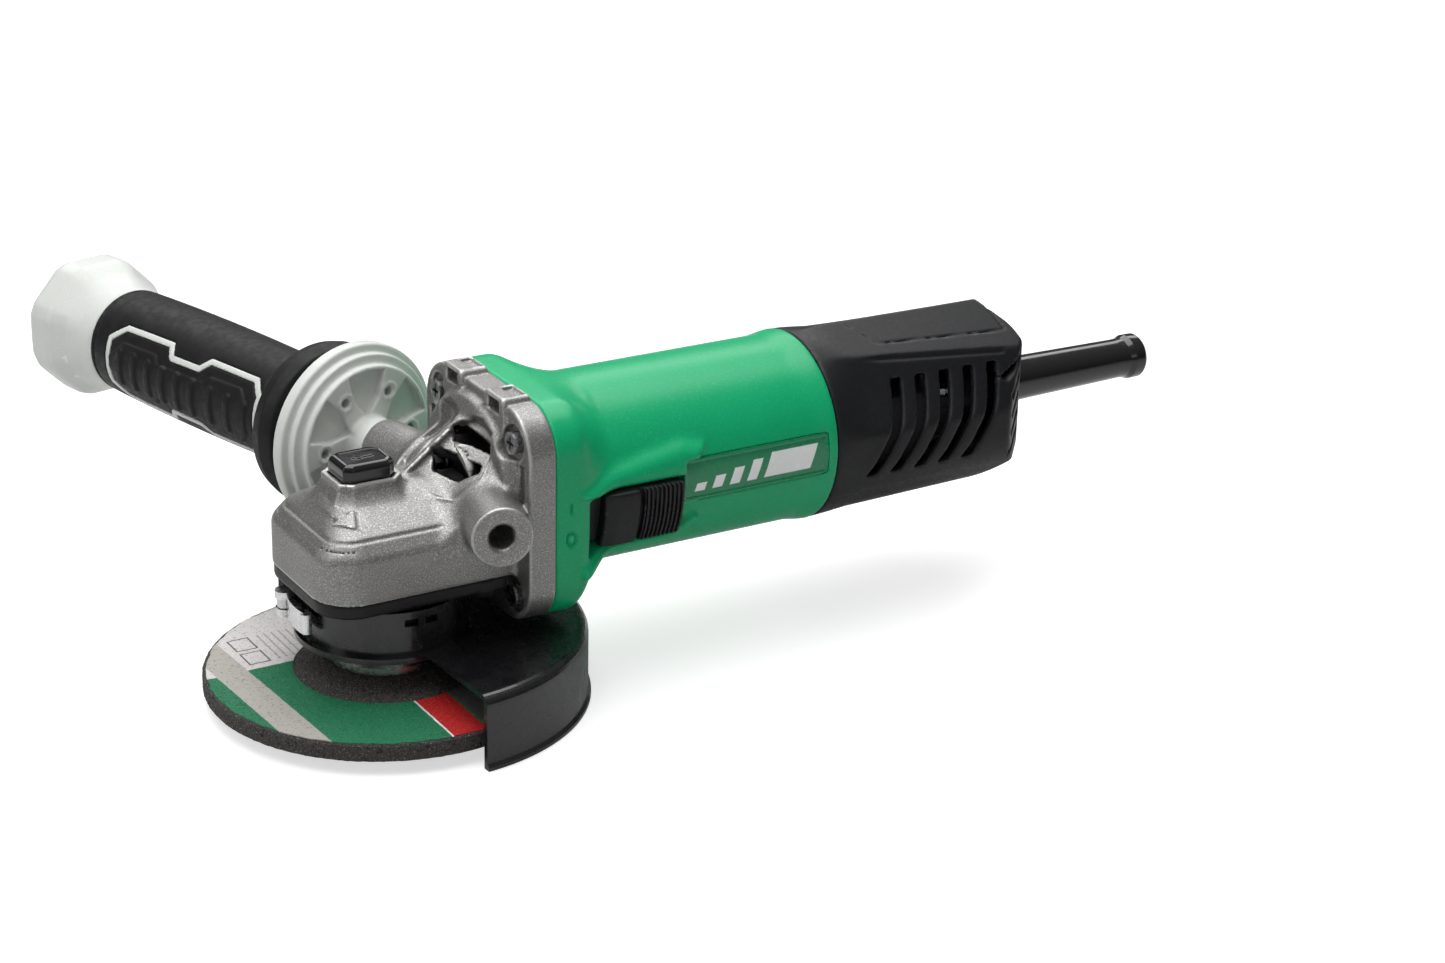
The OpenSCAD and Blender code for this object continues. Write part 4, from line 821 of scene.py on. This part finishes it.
def case_flange(x, y, z):
    side = abs(y)
    flat = outline(y, z - FLANGE_MIDDLE, FLANGE_HALF, FLANGE_RISE, FLANGE_CORNER)
    flange = slab(flat, x, FLANGE_FRONT, SPLIT_X, 0.9)
    lug = slab(polygon(side - LUG_Y, z, LUG), x, FLANGE_FRONT - 1.4, SPLIT_X - 1, 0.7)
    flange = join(flange, lug, 1.5)
    flange = cut(flange, block(x, side, z, (34.5, LUG_Y, 34.3), (3.4, 4.1, 2.3), 0.5), 0.4)
    flange = cut(flange, block(x, side, z, (41, LUG_Y, 39.5), (2.2, 4.3, 2.6), 0.5), 0.4)
    groove = block(x, side, z, (FLANGE_FRONT, 33.3, 5), (2.2, 2.0, 13), 1.0)
    return cut(flange, groove, 0.5)


def gear_case(x, y, z):
    z = z - AXIS_Z
    side = abs(y)
    wall = case_outline(x, y)
    body = slab(wall, z, CASE_BOTTOM - AXIS_Z, 30)
    run, rise = 4.4, ROOF_FOOT - SHOULDER_FOOT
    shoulder = (rise * wall + run * (z - SHOULDER_FOOT)) / math.hypot(rise, run)
    body = meet(body, shoulder, 1.2)
    roof = case_roof(x, y, z)
    body = meet(body, roof, 0.5)
    body = cut(body, np.hypot(wall + run, z - ROOF_FOOT) - 0.55, 0.6)
    neck, face, dome = case_neck(x, y, z)
    body = join(body, neck, 1.4)
    body = join(body, case_flange(x, y, z), 2.6)
    for hand in (1, -1):
        a, b, s = in_handle(x, y, z + AXIS_Z, hand)
        body = join(body, disc(a, b, s, BOSS_R, 0, BOSS_FACE, 0.7), 3.0)
        body = cut(body, disc(a, b, s, BOSS_THREAD_R, BOSS_FACE - 18, BOSS_FACE + 2))
        body = cut(body, (length(a, b) - 5.4 + (BOSS_FACE - s)) * 0.7, 0.2)
    pedestal = meet(button_outline(x, y, 2.2) - np.maximum(10.5 - z, 0) * 0.5,
                    corner(z - PEDESTAL_TOP, 2 - z))
    body = join(body, pedestal, 2.2)
    body = cut(body, meet(button_outline(x, y, 0.45), 8.4 - z), 0.3)
    slope = 0.70 * (x - CASE_FRONT - 4) + 0.72 * (z - ROOF_FOOT)
    arrow = polygon(y, slope, ARROW)
    body = join(body, meet(arrow, meet(roof - 0.7, -roof - 1.2)), 0.35)
    for up in SCREWS_UP:
        hole = np.hypot(side - SCREW_Y, z - up)
        body = cut(body, meet(hole - 6.2, corner(x - 36.6, 24 - x)), 0.5)
        body = cut(body, meet(hole - 2.6, 20 - x))
    return meet(cut(body, case_hollows(x, y, z, wall, face, dome)), x - SPLIT_X)


def case_hollows(x, y, z, wall, face, dome):
    """Gear chamber, bearing seats and the air way behind the windows."""
    far = length(y, z)
    chamber = meet(meet(wall + 3, x - 26.4), corner(z + 4.2, -z - 24))
    chamber = join(chamber, corner(np.hypot(x, y) - 20, z + 1.5, -z - 24))
    chamber = join(chamber, meet(corner(far - 9.5, x - 30, 9.2 - x), face + 3.4))
    for radius, start in ((18.05, 24.6), (31.05, 39)):
        chamber = join(chamber, corner(far - radius, x - 46, start - x))
    funnel = far - AIRWAY_R - (x - AIRWAY_FRONT) * AIRWAY_FLARE
    airway = meet(meet(funnel, face + 4.4), meet(dome + 3, 1 - z))
    airway = meet(airway, meet(AIRWAY_FRONT - x, 21 - far))
    chamber = join(chamber, airway)
    bush = corner(np.hypot(x, y) - 6.55, z - 5, -z - 3)
    return join(chamber, bush)


def gland(x, y, z):
    wall = case_outline(x, y) + 0.4
    nose_low, plate_low = span("packing_gland")[0][2], 42.0
    plate = meet(slab(wall, z, plate_low, CASE_BOTTOM, 0.8), x - 32, 0.6)
    body = join(plate, disc(x, y, z, 25.5, nose_low, plate_low + 1, 0.5), 1.6)
    for px, py in ((-22, 19), (24, 24.5)):
        pad = disc(x - px, abs(y) - py, z, 4.6, plate_low - 1.2, CASE_BOTTOM - 1, 0.5)
        body = join(body, meet(pad, wall), 0.8)
        body = cut(body, disc(x - px, abs(y) - py, z, 3.4, plate_low - 3, plate_low + 1.1))
    round_xy = np.hypot(x, y)
    body = cut(body, meet(round_xy - 16.05, 33 - z))
    body = cut(body, round_xy - 9.4)
    return cut(body, corner(round_xy - 13.05, z - 34, 29.9 - z))


def lock_button(x, y, z):
    top = span("lock_button")[1][2]
    base = span("lock_button")[0][2]
    flat = button_outline(x, y)
    body = meet(flat, corner(z - top, base - z))
    bevel = flat * 0.75 + (z - top + 1.7) * 0.66
    body = meet(body, bevel, 0.8)
    body = cut(body, meet(button_outline(x, y, -2.0), top - 0.55 - z), 0.2)
    mark = join(np.hypot(x + 9.2, y) - 1.7, outline(x + 6.2, y, 2.6, 0.75, 0.3))
    return join(body, meet(meet(mark, z - top + 0.1), top - 2 - z), 0.2)


# ---- motor housing and switch

SWITCH_TILT = math.radians(12)
KNOB_FRONT, KNOB_BACK = 65.0, 95.5
KNOB_HALF = 10.5
KNOB_RIBS, RIB_COUNT = 80.4, 9
TRACK_OUT = 31.5
WELL_X, WELL_HALF_X, WELL_HALF = 77.2, 18.9, 10.9
NECK_X, NECK_RUN = 53, 19
MARKS_X = 50.8
MOTOR_ROOM_R = 30.6
PLATE_LOW, PLATE_HIGH = 97.0, 156.0
PLATE_HALF = 7.6


def in_switch(y, z):
    """How far a point stands out and how far across it lies, in the switch's tilted frame."""
    c, s = math.cos(SWITCH_TILT), math.sin(SWITCH_TILT)
    return -(y * c + z * s), -y * s + z * c


def plate_outline(x, y, z):
    arc = np.arctan2(z, -y) * GREEN_RADIUS
    return outline(x - (PLATE_LOW + PLATE_HIGH) / 2, arc - PLATE_UP,
                   (PLATE_HIGH - PLATE_LOW) / 2, PLATE_HALF, 1.2)


def housing(x, y, z):
    z = z - AXIS_Z
    far = length(y, z)
    square = outline(y, z - FLANGE_MIDDLE, FLANGE_HALF, FLANGE_RISE, FLANGE_CORNER)
    swell = 1.15 * ease((x - 149) / 10)
    share = ease((x - NECK_X) / NECK_RUN)
    skin = square * (1 - share) + (far - GREEN_RADIUS - swell) * share
    body = meet(skin, corner(x - HOUSING_END, SPLIT_X - x), 0.9)
    out, across = in_switch(y, z)
    ridge = polygon(x, across, [(55.5, 13.4), (62, 11.9), (97, 11.6), (101, 13), (105, 19),
                                (97, 20.6), (82, 18.6), (66, 16)])
    raised = meet(meet(ridge, -skin - 2), skin - 2.8, 3.0)
    lip = join(stroke(x, across, (57, -14.5), (94, -13), 1.5),
                     stroke(x, across, (94, -13), (102, -7), 1.5))
    raised = join(raised, meet(meet(lip, -skin - 2), skin - 2.6, 1.6))
    body = join(body, meet(raised, y), 3.2)
    well = outline(x - WELL_X, across, WELL_HALF_X, WELL_HALF, 1.2)
    body = cut(body, meet(well, 32 - out), 0.6)
    track = meet(outline(x - 77.75, across, 25, 10.6, 1), abs(out - TRACK_OUT) - 1.0)
    body = cut(body, track, 0.2)
    body = cut(body, meet(outline(x - 66, across, 6.5, WELL_HALF, 1), 28 - out), 0.3)
    body = cut(body, meet(meet(plate_outline(x, y, z), GREEN_RADIUS - 0.8 - far), y))
    stroke_i = outline(x - MARKS_X, z - 2, 0.6, 2.2, 0.2)
    ring_o = abs(np.sqrt(((x - MARKS_X) / 0.75) ** 2 + (z + 9) ** 2) - 2.2) - 0.6
    marks = meet(join(stroke_i, ring_o), meet(-skin - 0.9, y))
    body = cut(body, marks, 0.1)
    body = cut(body, meet(far - MOTOR_ROOM_R, x - 143.4), 0.4)
    body = cut(body, corner(far - 13.05, x - 170, 140 - x))
    return cut(body, meet(meet(far - MOTOR_ROOM_R, 16.5 - far), 147.4 - x))


def name_plate(x, y, z):
    z = z - AXIS_Z
    far = length(y, z)
    flat = plate_outline(x, y, z) + 0.1
    panel = meet(flat, abs(far - GREEN_RADIUS + 0.4) - 0.35, 0.2)
    rim = corner(abs(flat + 0.5) - 0.4, abs(far - GREEN_RADIUS + 0.15) - 0.45) - 0.1
    return join(panel, rim, 0.4)


def switch_knob(x, y, z):
    z = z - AXIS_Z
    out, across = in_switch(y, z)
    far = np.hypot(out, across)
    top = 37.45 - 1.1 * ease((KNOB_FRONT + 5 - x) / 5)
    body = slab(outline(x - (KNOB_FRONT + KNOB_BACK) / 2, across, (KNOB_BACK - KNOB_FRONT) / 2,
                        KNOB_HALF, 1.2), out, 31.9, 42)
    body = meet(body, far - top, 1.2)
    valley = meet(abs(x - 79) - 0.9, 35.3 - far)
    body = cut(body, valley, 0.7)
    pitch = (KNOB_BACK - KNOB_RIBS) / RIB_COUNT
    phase = abs(np.mod(x - KNOB_RIBS, pitch) - pitch / 2)
    ribs = meet(0.38 - phase, meet(36.3 - far, KNOB_RIBS - x))
    body = cut(body, meet(ribs, x - KNOB_BACK + 0.8), 0.4)
    plate = block(x, out, across, (77.6, TRACK_OUT, 0), (17.4, 0.42, 9.6), 0.2)
    return join(body, plate)


# ---- tail cover and cord guard

VENTS = 5
VENT_STEP = 10.25
TAIL_SIDE = 33.8
TAIL_WALL = 2.6
SCREW_UP = 22
CORD_HOLE_R = 9.3


def tail_skin(x, y, z):
    """Faceted shell: crowned top, slanted shoulders, flat flanks, cut-off rear corners."""
    side = abs(y)
    way = (x - 175.5) / 59.5
    crease_y, crease_z = 18.6 + 5.4 * way, 28.5 - 4.5 * way
    top_z = 35.5 - 0.7 * ease((x - 165) / 80)
    top = ((top_z - crease_z) * side + crease_y * (z - top_z)) / np.hypot(top_z - crease_z, crease_y)
    fall, run = crease_z - 4.3, TAIL_SIDE - crease_y
    shoulder = (fall * (side - crease_y) + run * (z - crease_z)) / np.hypot(fall, run)
    low = -31.5 + 3.0 * (x - HOUSING_END) / (TAIL_END - HOUSING_END)
    belly = meet(-z + low, plane(x, side, z, (0, TAIL_SIDE, -13), (0, 0.74, -0.67)), 7)
    facets = meet(meet(top, shoulder, 1.0), meet(side - TAIL_SIDE, belly, 5), 1.2)
    far = length(y, z) - GREEN_RADIUS - 1.0
    share = ease((x - HOUSING_END) / 17)
    skin = far * (1 - share) + facets * share
    rear = meet(plane(x, side, z, (235, 33.5, 0), (0.69, 0.72, 0)),
                plane(x, side, z, (240.5, 0, 35), (0.72, 0, 0.69)), 2)
    heel = plane(x, side, z, (232, 0, -28), (0.58, 0, -0.81))
    groove = np.hypot(side - crease_y - 0.7, z - crease_z + 0.9) - 1.1 * ease((x - 174) / 14)
    return cut(meet(meet(skin, rear, 1.2), heel, 3), meet(groove, x - 237), 0.5)


def tail(x, y, z):
    z = z - AXIS_Z
    side = abs(y)
    skin = tail_skin(x, y, z)
    body = meet(skin, corner(x - TAIL_END, HOUSING_END + 0.25 - x), 1.4)
    panel_half = 13 + 3 * (x - 181) / 62
    panel = corner(side - panel_half, x - 243, 181 + side * 0.55 - x)
    body = cut(body, meet(abs(panel) - 0.35, -skin - 0.5), 0.3)
    body = cut(body, meet(skin + TAIL_WALL, corner(x - TAIL_END + TAIL_WALL, 150 - x)))
    for i in range(VENTS):
        share = np.clip((z + 12) / 32, -0.2, 1.2)
        bend = 175 + VENT_STEP * i + 15 * (1 - (1.2 - share) ** 2 / 1.44)
        vent = corner(abs(x - bend) * 0.85 - 1.9 + 0.9, abs(z - 4) - 16 + 0.9) - 0.9
        body = cut(body, meet(vent, 20 - side), 0.7)
    along = 0.72 * (x - 235) - 0.69 * (side - 33.5)
    for up in (-12, -5, 2, 9, 16):
        slot = stroke(along, z, (3.4, up - 2), (13.2, up + 3.5), 1.15)
        body = cut(body, meet(slot, 16 - side), 0.5)
    for up in (SCREW_UP, -SCREW_UP):
        post = disc(y, z - up, x, 4.4, HOUSING_END + 1, TAIL_END - 1)
        body = join(body, meet(post, skin + 1))
        body = cut(body, disc(y, z - up, x, 3.4, TAIL_END - 6, TAIL_END + 2))
    body = join(body, disc(y, z, x, 12, 226, TAIL_END, 1.2), 1.5)
    return cut(body, disc(y, z, x, CORD_HOLE_R, 220, TAIL_END + 2), 0.2)


def cord_guard():
    outer = [(7.3, 231.6), (7.3, 234.6), (9.0, 234.8), (9.0, 238.2), (7.4, 238.4), (7.4, 245.5),
             (9.15, 247.0), (9.15, 249.5), (8.5, 251), (7.5, 308), (7.6, 311), (8.5, 313),
             (8.5, 317.2), (7.7, 318.3)]
    profile = fillet([(4.1, 231.6)] + outer + [(4.1, 318.3)], 0.5, 3)
    points, faces = lathe(split_long(profile, 4), 72, on_motor_axis)
    make("cord_guard_sleeve", points, faces, "housing", "gloss_rubber", ["cord_guard"])


# ---- side handle

PLATEAU_S = DISC_S - 6
DISC_BACK = DISC_S + 5
GRIP_S = DISC_BACK + 27.5
GRIP_END = GRIP_S + 104
GRIP_R = 20.3


POCKET = [(9.6, -1), (9.6, 0.6), (15.6, 5.3), (25.1, 8.1), (26.2, 0), (26.2, -1)]


def flange_disc(x, y, z):
    a, b, s = in_handle(x, y, z)
    far = np.hypot(a, b)
    body = disc(a, b, s, 34, DISC_S, DISC_BACK, 1.0)
    body = join(body, disc(a, b, s, 31, DISC_S - 3, DISC_BACK - 1, 0.7), 0.5)
    body = join(body, disc(a, b, s, 27.6, PLATEAU_S, DISC_S, 0.9), 0.8)
    body = join(body, disc(a, b, s, 9.7, BOSS_FACE + 0.1, DISC_S, 0.5), 1.2)
    turn = np.arctan2(b, a)
    sector = abs(np.mod(turn, math.pi / 3) - math.pi / 6)
    u, v = far * np.cos(sector), far * np.sin(sector)
    pocket = polygon(u, abs(v), POCKET)
    body = cut(body, meet(pocket, corner(s - PLATEAU_S - 3, PLATEAU_S - 3 - s)), 0.6)
    star = abs(np.mod(turn + math.pi / 6, math.pi / 3) - math.pi / 6)
    hole = np.hypot(far * np.cos(star) - 19, far * np.sin(star))
    body = join(body, meet(abs(hole - 3.0) - 0.45, abs(s - PLATEAU_S) - 0.4), 0.3)
    body = cut(body, meet(hole - 1.7, s - PLATEAU_S - 6), 0.3)
    return cut(body, far - 4.2)


def handle_boot():
    profile = [(14, 0.3), (25.6, 0.3), (26.6, 1.3), (26.6, 3.4), (25.2, 4.6), (23.4, 5.6),
               (24.6, 6.8), (28.6, 8.6), (30.2, 13.0), (29.0, 17.8), (25.2, 21.4), (22.2, 23.6),
               (21, 25.8), (14, 25.8)]
    profile = [(r, s + DISC_BACK) for r, s in split_long(fillet(profile, 1.6, 4), 1.6)]
    points, faces = lathe(profile, 120, on_handle)
    boot = make("handle_boot_rubber", points, faces, None, "soft_rubber", ["handle_boot"])
    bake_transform(boot)


INLAY = [(125, 153), (116.6, 135), (88, 133), (85, 146), (69.6, 145), (65, 133), (38, 132),
         (32.5, 150.5)]
PAD = [(122.5, 174), (114.4, 154.4), (94, 153), (92.6, 161.7), (64, 159.4), (61.5, 152), (43.7, 150),
       (39, 164)]
RIDGES = (49.2, 59.3, 70, 79, 88, 97, 106, 115)


def wrapped(pairs):
    """Mirrors (mm from the disc, degrees) corners and gives mm along and mm of arc."""
    half = [(s + DISC_S, math.radians(180 - f) * GRIP_R) for s, f in pairs]
    return half + [(s, -arc) for s, arc in reversed(half)]


def grip_coordinates(x, y, z):
    a, b, s = in_handle(x, y, z)
    turn = math.pi / 2 - abs(abs(np.arctan2(b, a)) - math.pi / 2)
    return np.hypot(a, b), s, turn * np.sign(b) * GRIP_R


def grip_radius(s):
    way = (s - GRIP_S) / (GRIP_END - GRIP_S)
    return GRIP_R - 0.5 + 1.0 * np.maximum(np.sin(math.pi * np.clip(way, 0, 1)), 0) ** 0.7


def grip(x, y, z):
    far, s, arc = grip_coordinates(x, y, z)
    radius = grip_radius(s)
    body = meet(far - radius, corner(s - GRIP_END, GRIP_S - s), 2.2)
    pad = polygon(s, arc, wrapped(PAD))
    raised = meet(pad, meet(far - radius - 0.7, 15 - far))
    body = join(body, raised, 0.7)
    for ridge in RIDGES:
        bar = stroke(s, arc, (ridge + DISC_S, -5.6), (ridge + DISC_S, 5.6), 1.5)
        bump = meet(bar, meet(far - radius - 1.5, 15 - far))
        body = join(body, meet(bump, pad), 0.9)
    line = abs(polygon(s, arc, wrapped(INLAY)) + 1.3) - 1.3
    body = cut(body, meet(line, radius - 0.6 - far), 0.2)
    body = cut(body, meet(abs(s - GRIP_END + 3.0) - 0.5, radius - 0.7 - far), 0.3)
    return cut(body, far - 16)


def grip_inlay(x, y, z):
    far, s, arc = grip_coordinates(x, y, z)
    radius = grip_radius(s)
    line = abs(polygon(s, arc, wrapped(INLAY)) + 1.3) - 1.15
    return meet(line, abs(far - radius + 0.5) - 0.7, 0.3)


def handle_cap():
    """Octagonal cap that flares from the grip, on the tube that carries the grip."""
    end = GRIP_END
    flare = [(15.8, -4), (19.4, 0.1), (19.9, 1.2), (20.8, 6), (23.0, 12), (26.2, 17.5), (26.9, 20),
             (26.9, 28.5), (25.6, 31.5), (19, 39.3), (17.5, 39.9), (6, 39.9), (5.2, 38.5), (5, 34)]
    tube = [(5, GRIP_S + 1), (15.8, GRIP_S + 1)]
    profile = split_long(fillet(tube + [(r, end + s) for r, s in flare], 1.4, 4), 2.0)

    def octagon(r, s, turn):
        share = ease((s - end - 4) / 12) * (r > 10)
        eighth = (turn + math.pi / 8) % (math.pi / 4) - math.pi / 8
        flat = math.cos(math.pi / 8) / math.cos(eighth)
        soft = 1 - 0.88 * (1 - min(flat * 1.035, 1.0))
        return r * (1 - share + share * soft), s

    points, faces = lathe(profile, 160, on_handle, octagon)
    make("handle_cap", points, faces, "grip", "pale_plastic", ["handle_core"])


# ---- lock spring

def lock_spring():
    """Coil spring under the lock button."""
    low, high = span("lock_spring")
    centre = (low + high) / 2
    coil_r, wire_r, turns, steps, ring = 2.75, 0.35, 4, 192, 12
    bottom, height = low[2] + wire_r, high[2] - low[2] - 2 * wire_r
    points = []
    for i in range(steps + 1):
        turn = 2 * math.pi * turns * i / steps
        for k in range(ring):
            around = 2 * math.pi * k / ring
            r = coil_r + wire_r * math.cos(around)
            up = bottom + height * i / steps + wire_r * math.sin(around)
            points.append((centre[0] + r * math.cos(turn), centre[1] + r * math.sin(turn), up))
    faces = strips(steps, ring, steps + 1)
    faces += [tuple(range(ring))[::-1], tuple(steps * ring + k for k in range(ring))]
    spring = make("lock_spring_coil", points, faces, "housing", "steel", ["lock_spring"])
    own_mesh(spring)


# ---- grinding wheel

def rough(points, depth, scale, seed):
    """Pushes points about by smooth value noise."""
    rng = np.random.default_rng(seed)
    size = 24
    grid = rng.uniform(-1, 1, (size, size, size))
    p = np.asarray(points) / scale
    low = np.floor(p).astype(int)
    t = p - low
    t = t * t * (3 - 2 * t)
    value = 0
    for i, j, k in CORNERS:
        wx, wy, wz = (t[:, axis] if far else 1 - t[:, axis] for axis, far in enumerate((i, j, k)))
        cell = [(low[:, axis] + far) % size for axis, far in enumerate((i, j, k))]
        value = value + wx * wy * wz * grid[tuple(cell)]
    return value * depth


WHEEL_THICK = 6
GRIT_SEED, RIM_SEED, EDGE_SEED = 5, 3, 8


def wheel():
    low, high = span("grinding_wheel")
    bottom, top = low[2], high[2]
    rim_r = high[0]
    rim_top, bore_r = bottom + WHEEL_THICK, 11.2
    outer = [(rim_r - 0.3, bottom), (rim_r, bottom + 0.4), (rim_r, rim_top - 0.5),
             (rim_r - 0.6, rim_top), (31.5, rim_top), (22, top), (bore_r, top),
             (bore_r, top - WHEEL_THICK), (21, top - WHEEL_THICK), (30, bottom)]
    profile = split_long(fillet(outer, 0.4, 2), 1.1)
    points, faces = lathe(profile, 400, on_spindle)
    points = np.array(points)
    far = np.linalg.norm(points[:, :2], axis=1)
    away = points / np.maximum(far, 1)[:, None]
    away[:, 2] = 0
    points += away * ((rough(points, 0.25, 1.1, RIM_SEED) - 0.25) * (far > rim_r - 0.7))[:, None]
    on_top = points[:, 2] > rim_top - 0.3
    points[:, 2] += (rough(points, 0.22, 1.3, GRIT_SEED) - 0.05) * on_top * 0.8
    make("wheel_disc", points, faces, "spindle", "abrasive", ["grinding_wheel"], math.radians(30))


def wheel_label():
    low, high = span("wheel_label")
    inner, outer = 31.8, high[0]
    rings, steps = 60, 320
    points = []
    for k in range(rings + 1):
        r = inner + (outer - inner) * k / rings
        for i in range(steps):
            turn = 2 * math.pi * i / steps
            points.append((r * math.cos(turn), r * math.sin(turn), low[2] + 0.22))
    points = np.array(points)
    points[:, 2] += rough(points, 0.16, 1.3, GRIT_SEED)
    wobble = rough(points, 0.5, 3.0, EDGE_SEED)
    edge = np.linalg.norm(points[:, :2], axis=1) > outer - 0.1
    points[:, :2] *= (1 + wobble * edge / outer)[:, None]
    lower = points.copy()
    lower[:, 2] = low[2] - 0.3
    count = len(points)
    faces = strips(rings, steps, rings + 1)
    under = [tuple(v + count for v in reversed(f)) for f in faces]
    rim = [(k * steps + (i + 1) % steps, k * steps + i, count + k * steps + i,
            count + k * steps + (i + 1) % steps) for k in (0, rings) for i in range(steps)]
    make("wheel_paper", np.concatenate([points, lower]), faces + under + rim, "spindle",
         "wheel_print", ["wheel_label"])


# ---- all pieces

def node_shell(name, field, node, cell, body, slot, grow=0.0):
    """A shell that takes the place of one CAD node, within that node's box."""
    low, high = span(node)
    shell(name, field, low - grow, high + grow, cell, body, slot, [node])


node_shell("gear_case_casting", gear_case, "gear_case", 0.75, "housing", "cast_metal")
node_shell("gland_casting", gland, "packing_gland", 0.75, "housing", "black_casting")
node_shell("lock_button_cap", lock_button, "lock_button", 0.35, "lock", "gloss_rubber")
node_shell("motor_housing_shell", housing, "motor_housing", 0.9, "housing", "green_plastic")
node_shell("name_plate_panel", name_plate, "name_plate", 0.4, "housing", "plate_print", 0.5)
node_shell("switch_knob_cap", switch_knob, "switch_knob", 0.4, "switch", "black_plastic", 6)
node_shell("tail_shell", tail, "tail_cover", 0.85, "housing", "black_plastic")
cord_guard()
node_shell("handle_flange_disc", flange_disc, "handle_flange", 0.6, "housing", "pale_plastic")
handle_boot()
node_shell("handle_grip_sleeve", grip, "handle_grip", 0.8, "grip", "soft_rubber", 1.2)
grip_low, grip_high = span("handle_grip")
shell("handle_grip_inlay", grip_inlay, grip_low - 1, grip_high + 1, 0.55, "grip", "pale_plastic")
handle_cap()
lock_spring()
wheel()
wheel_label()
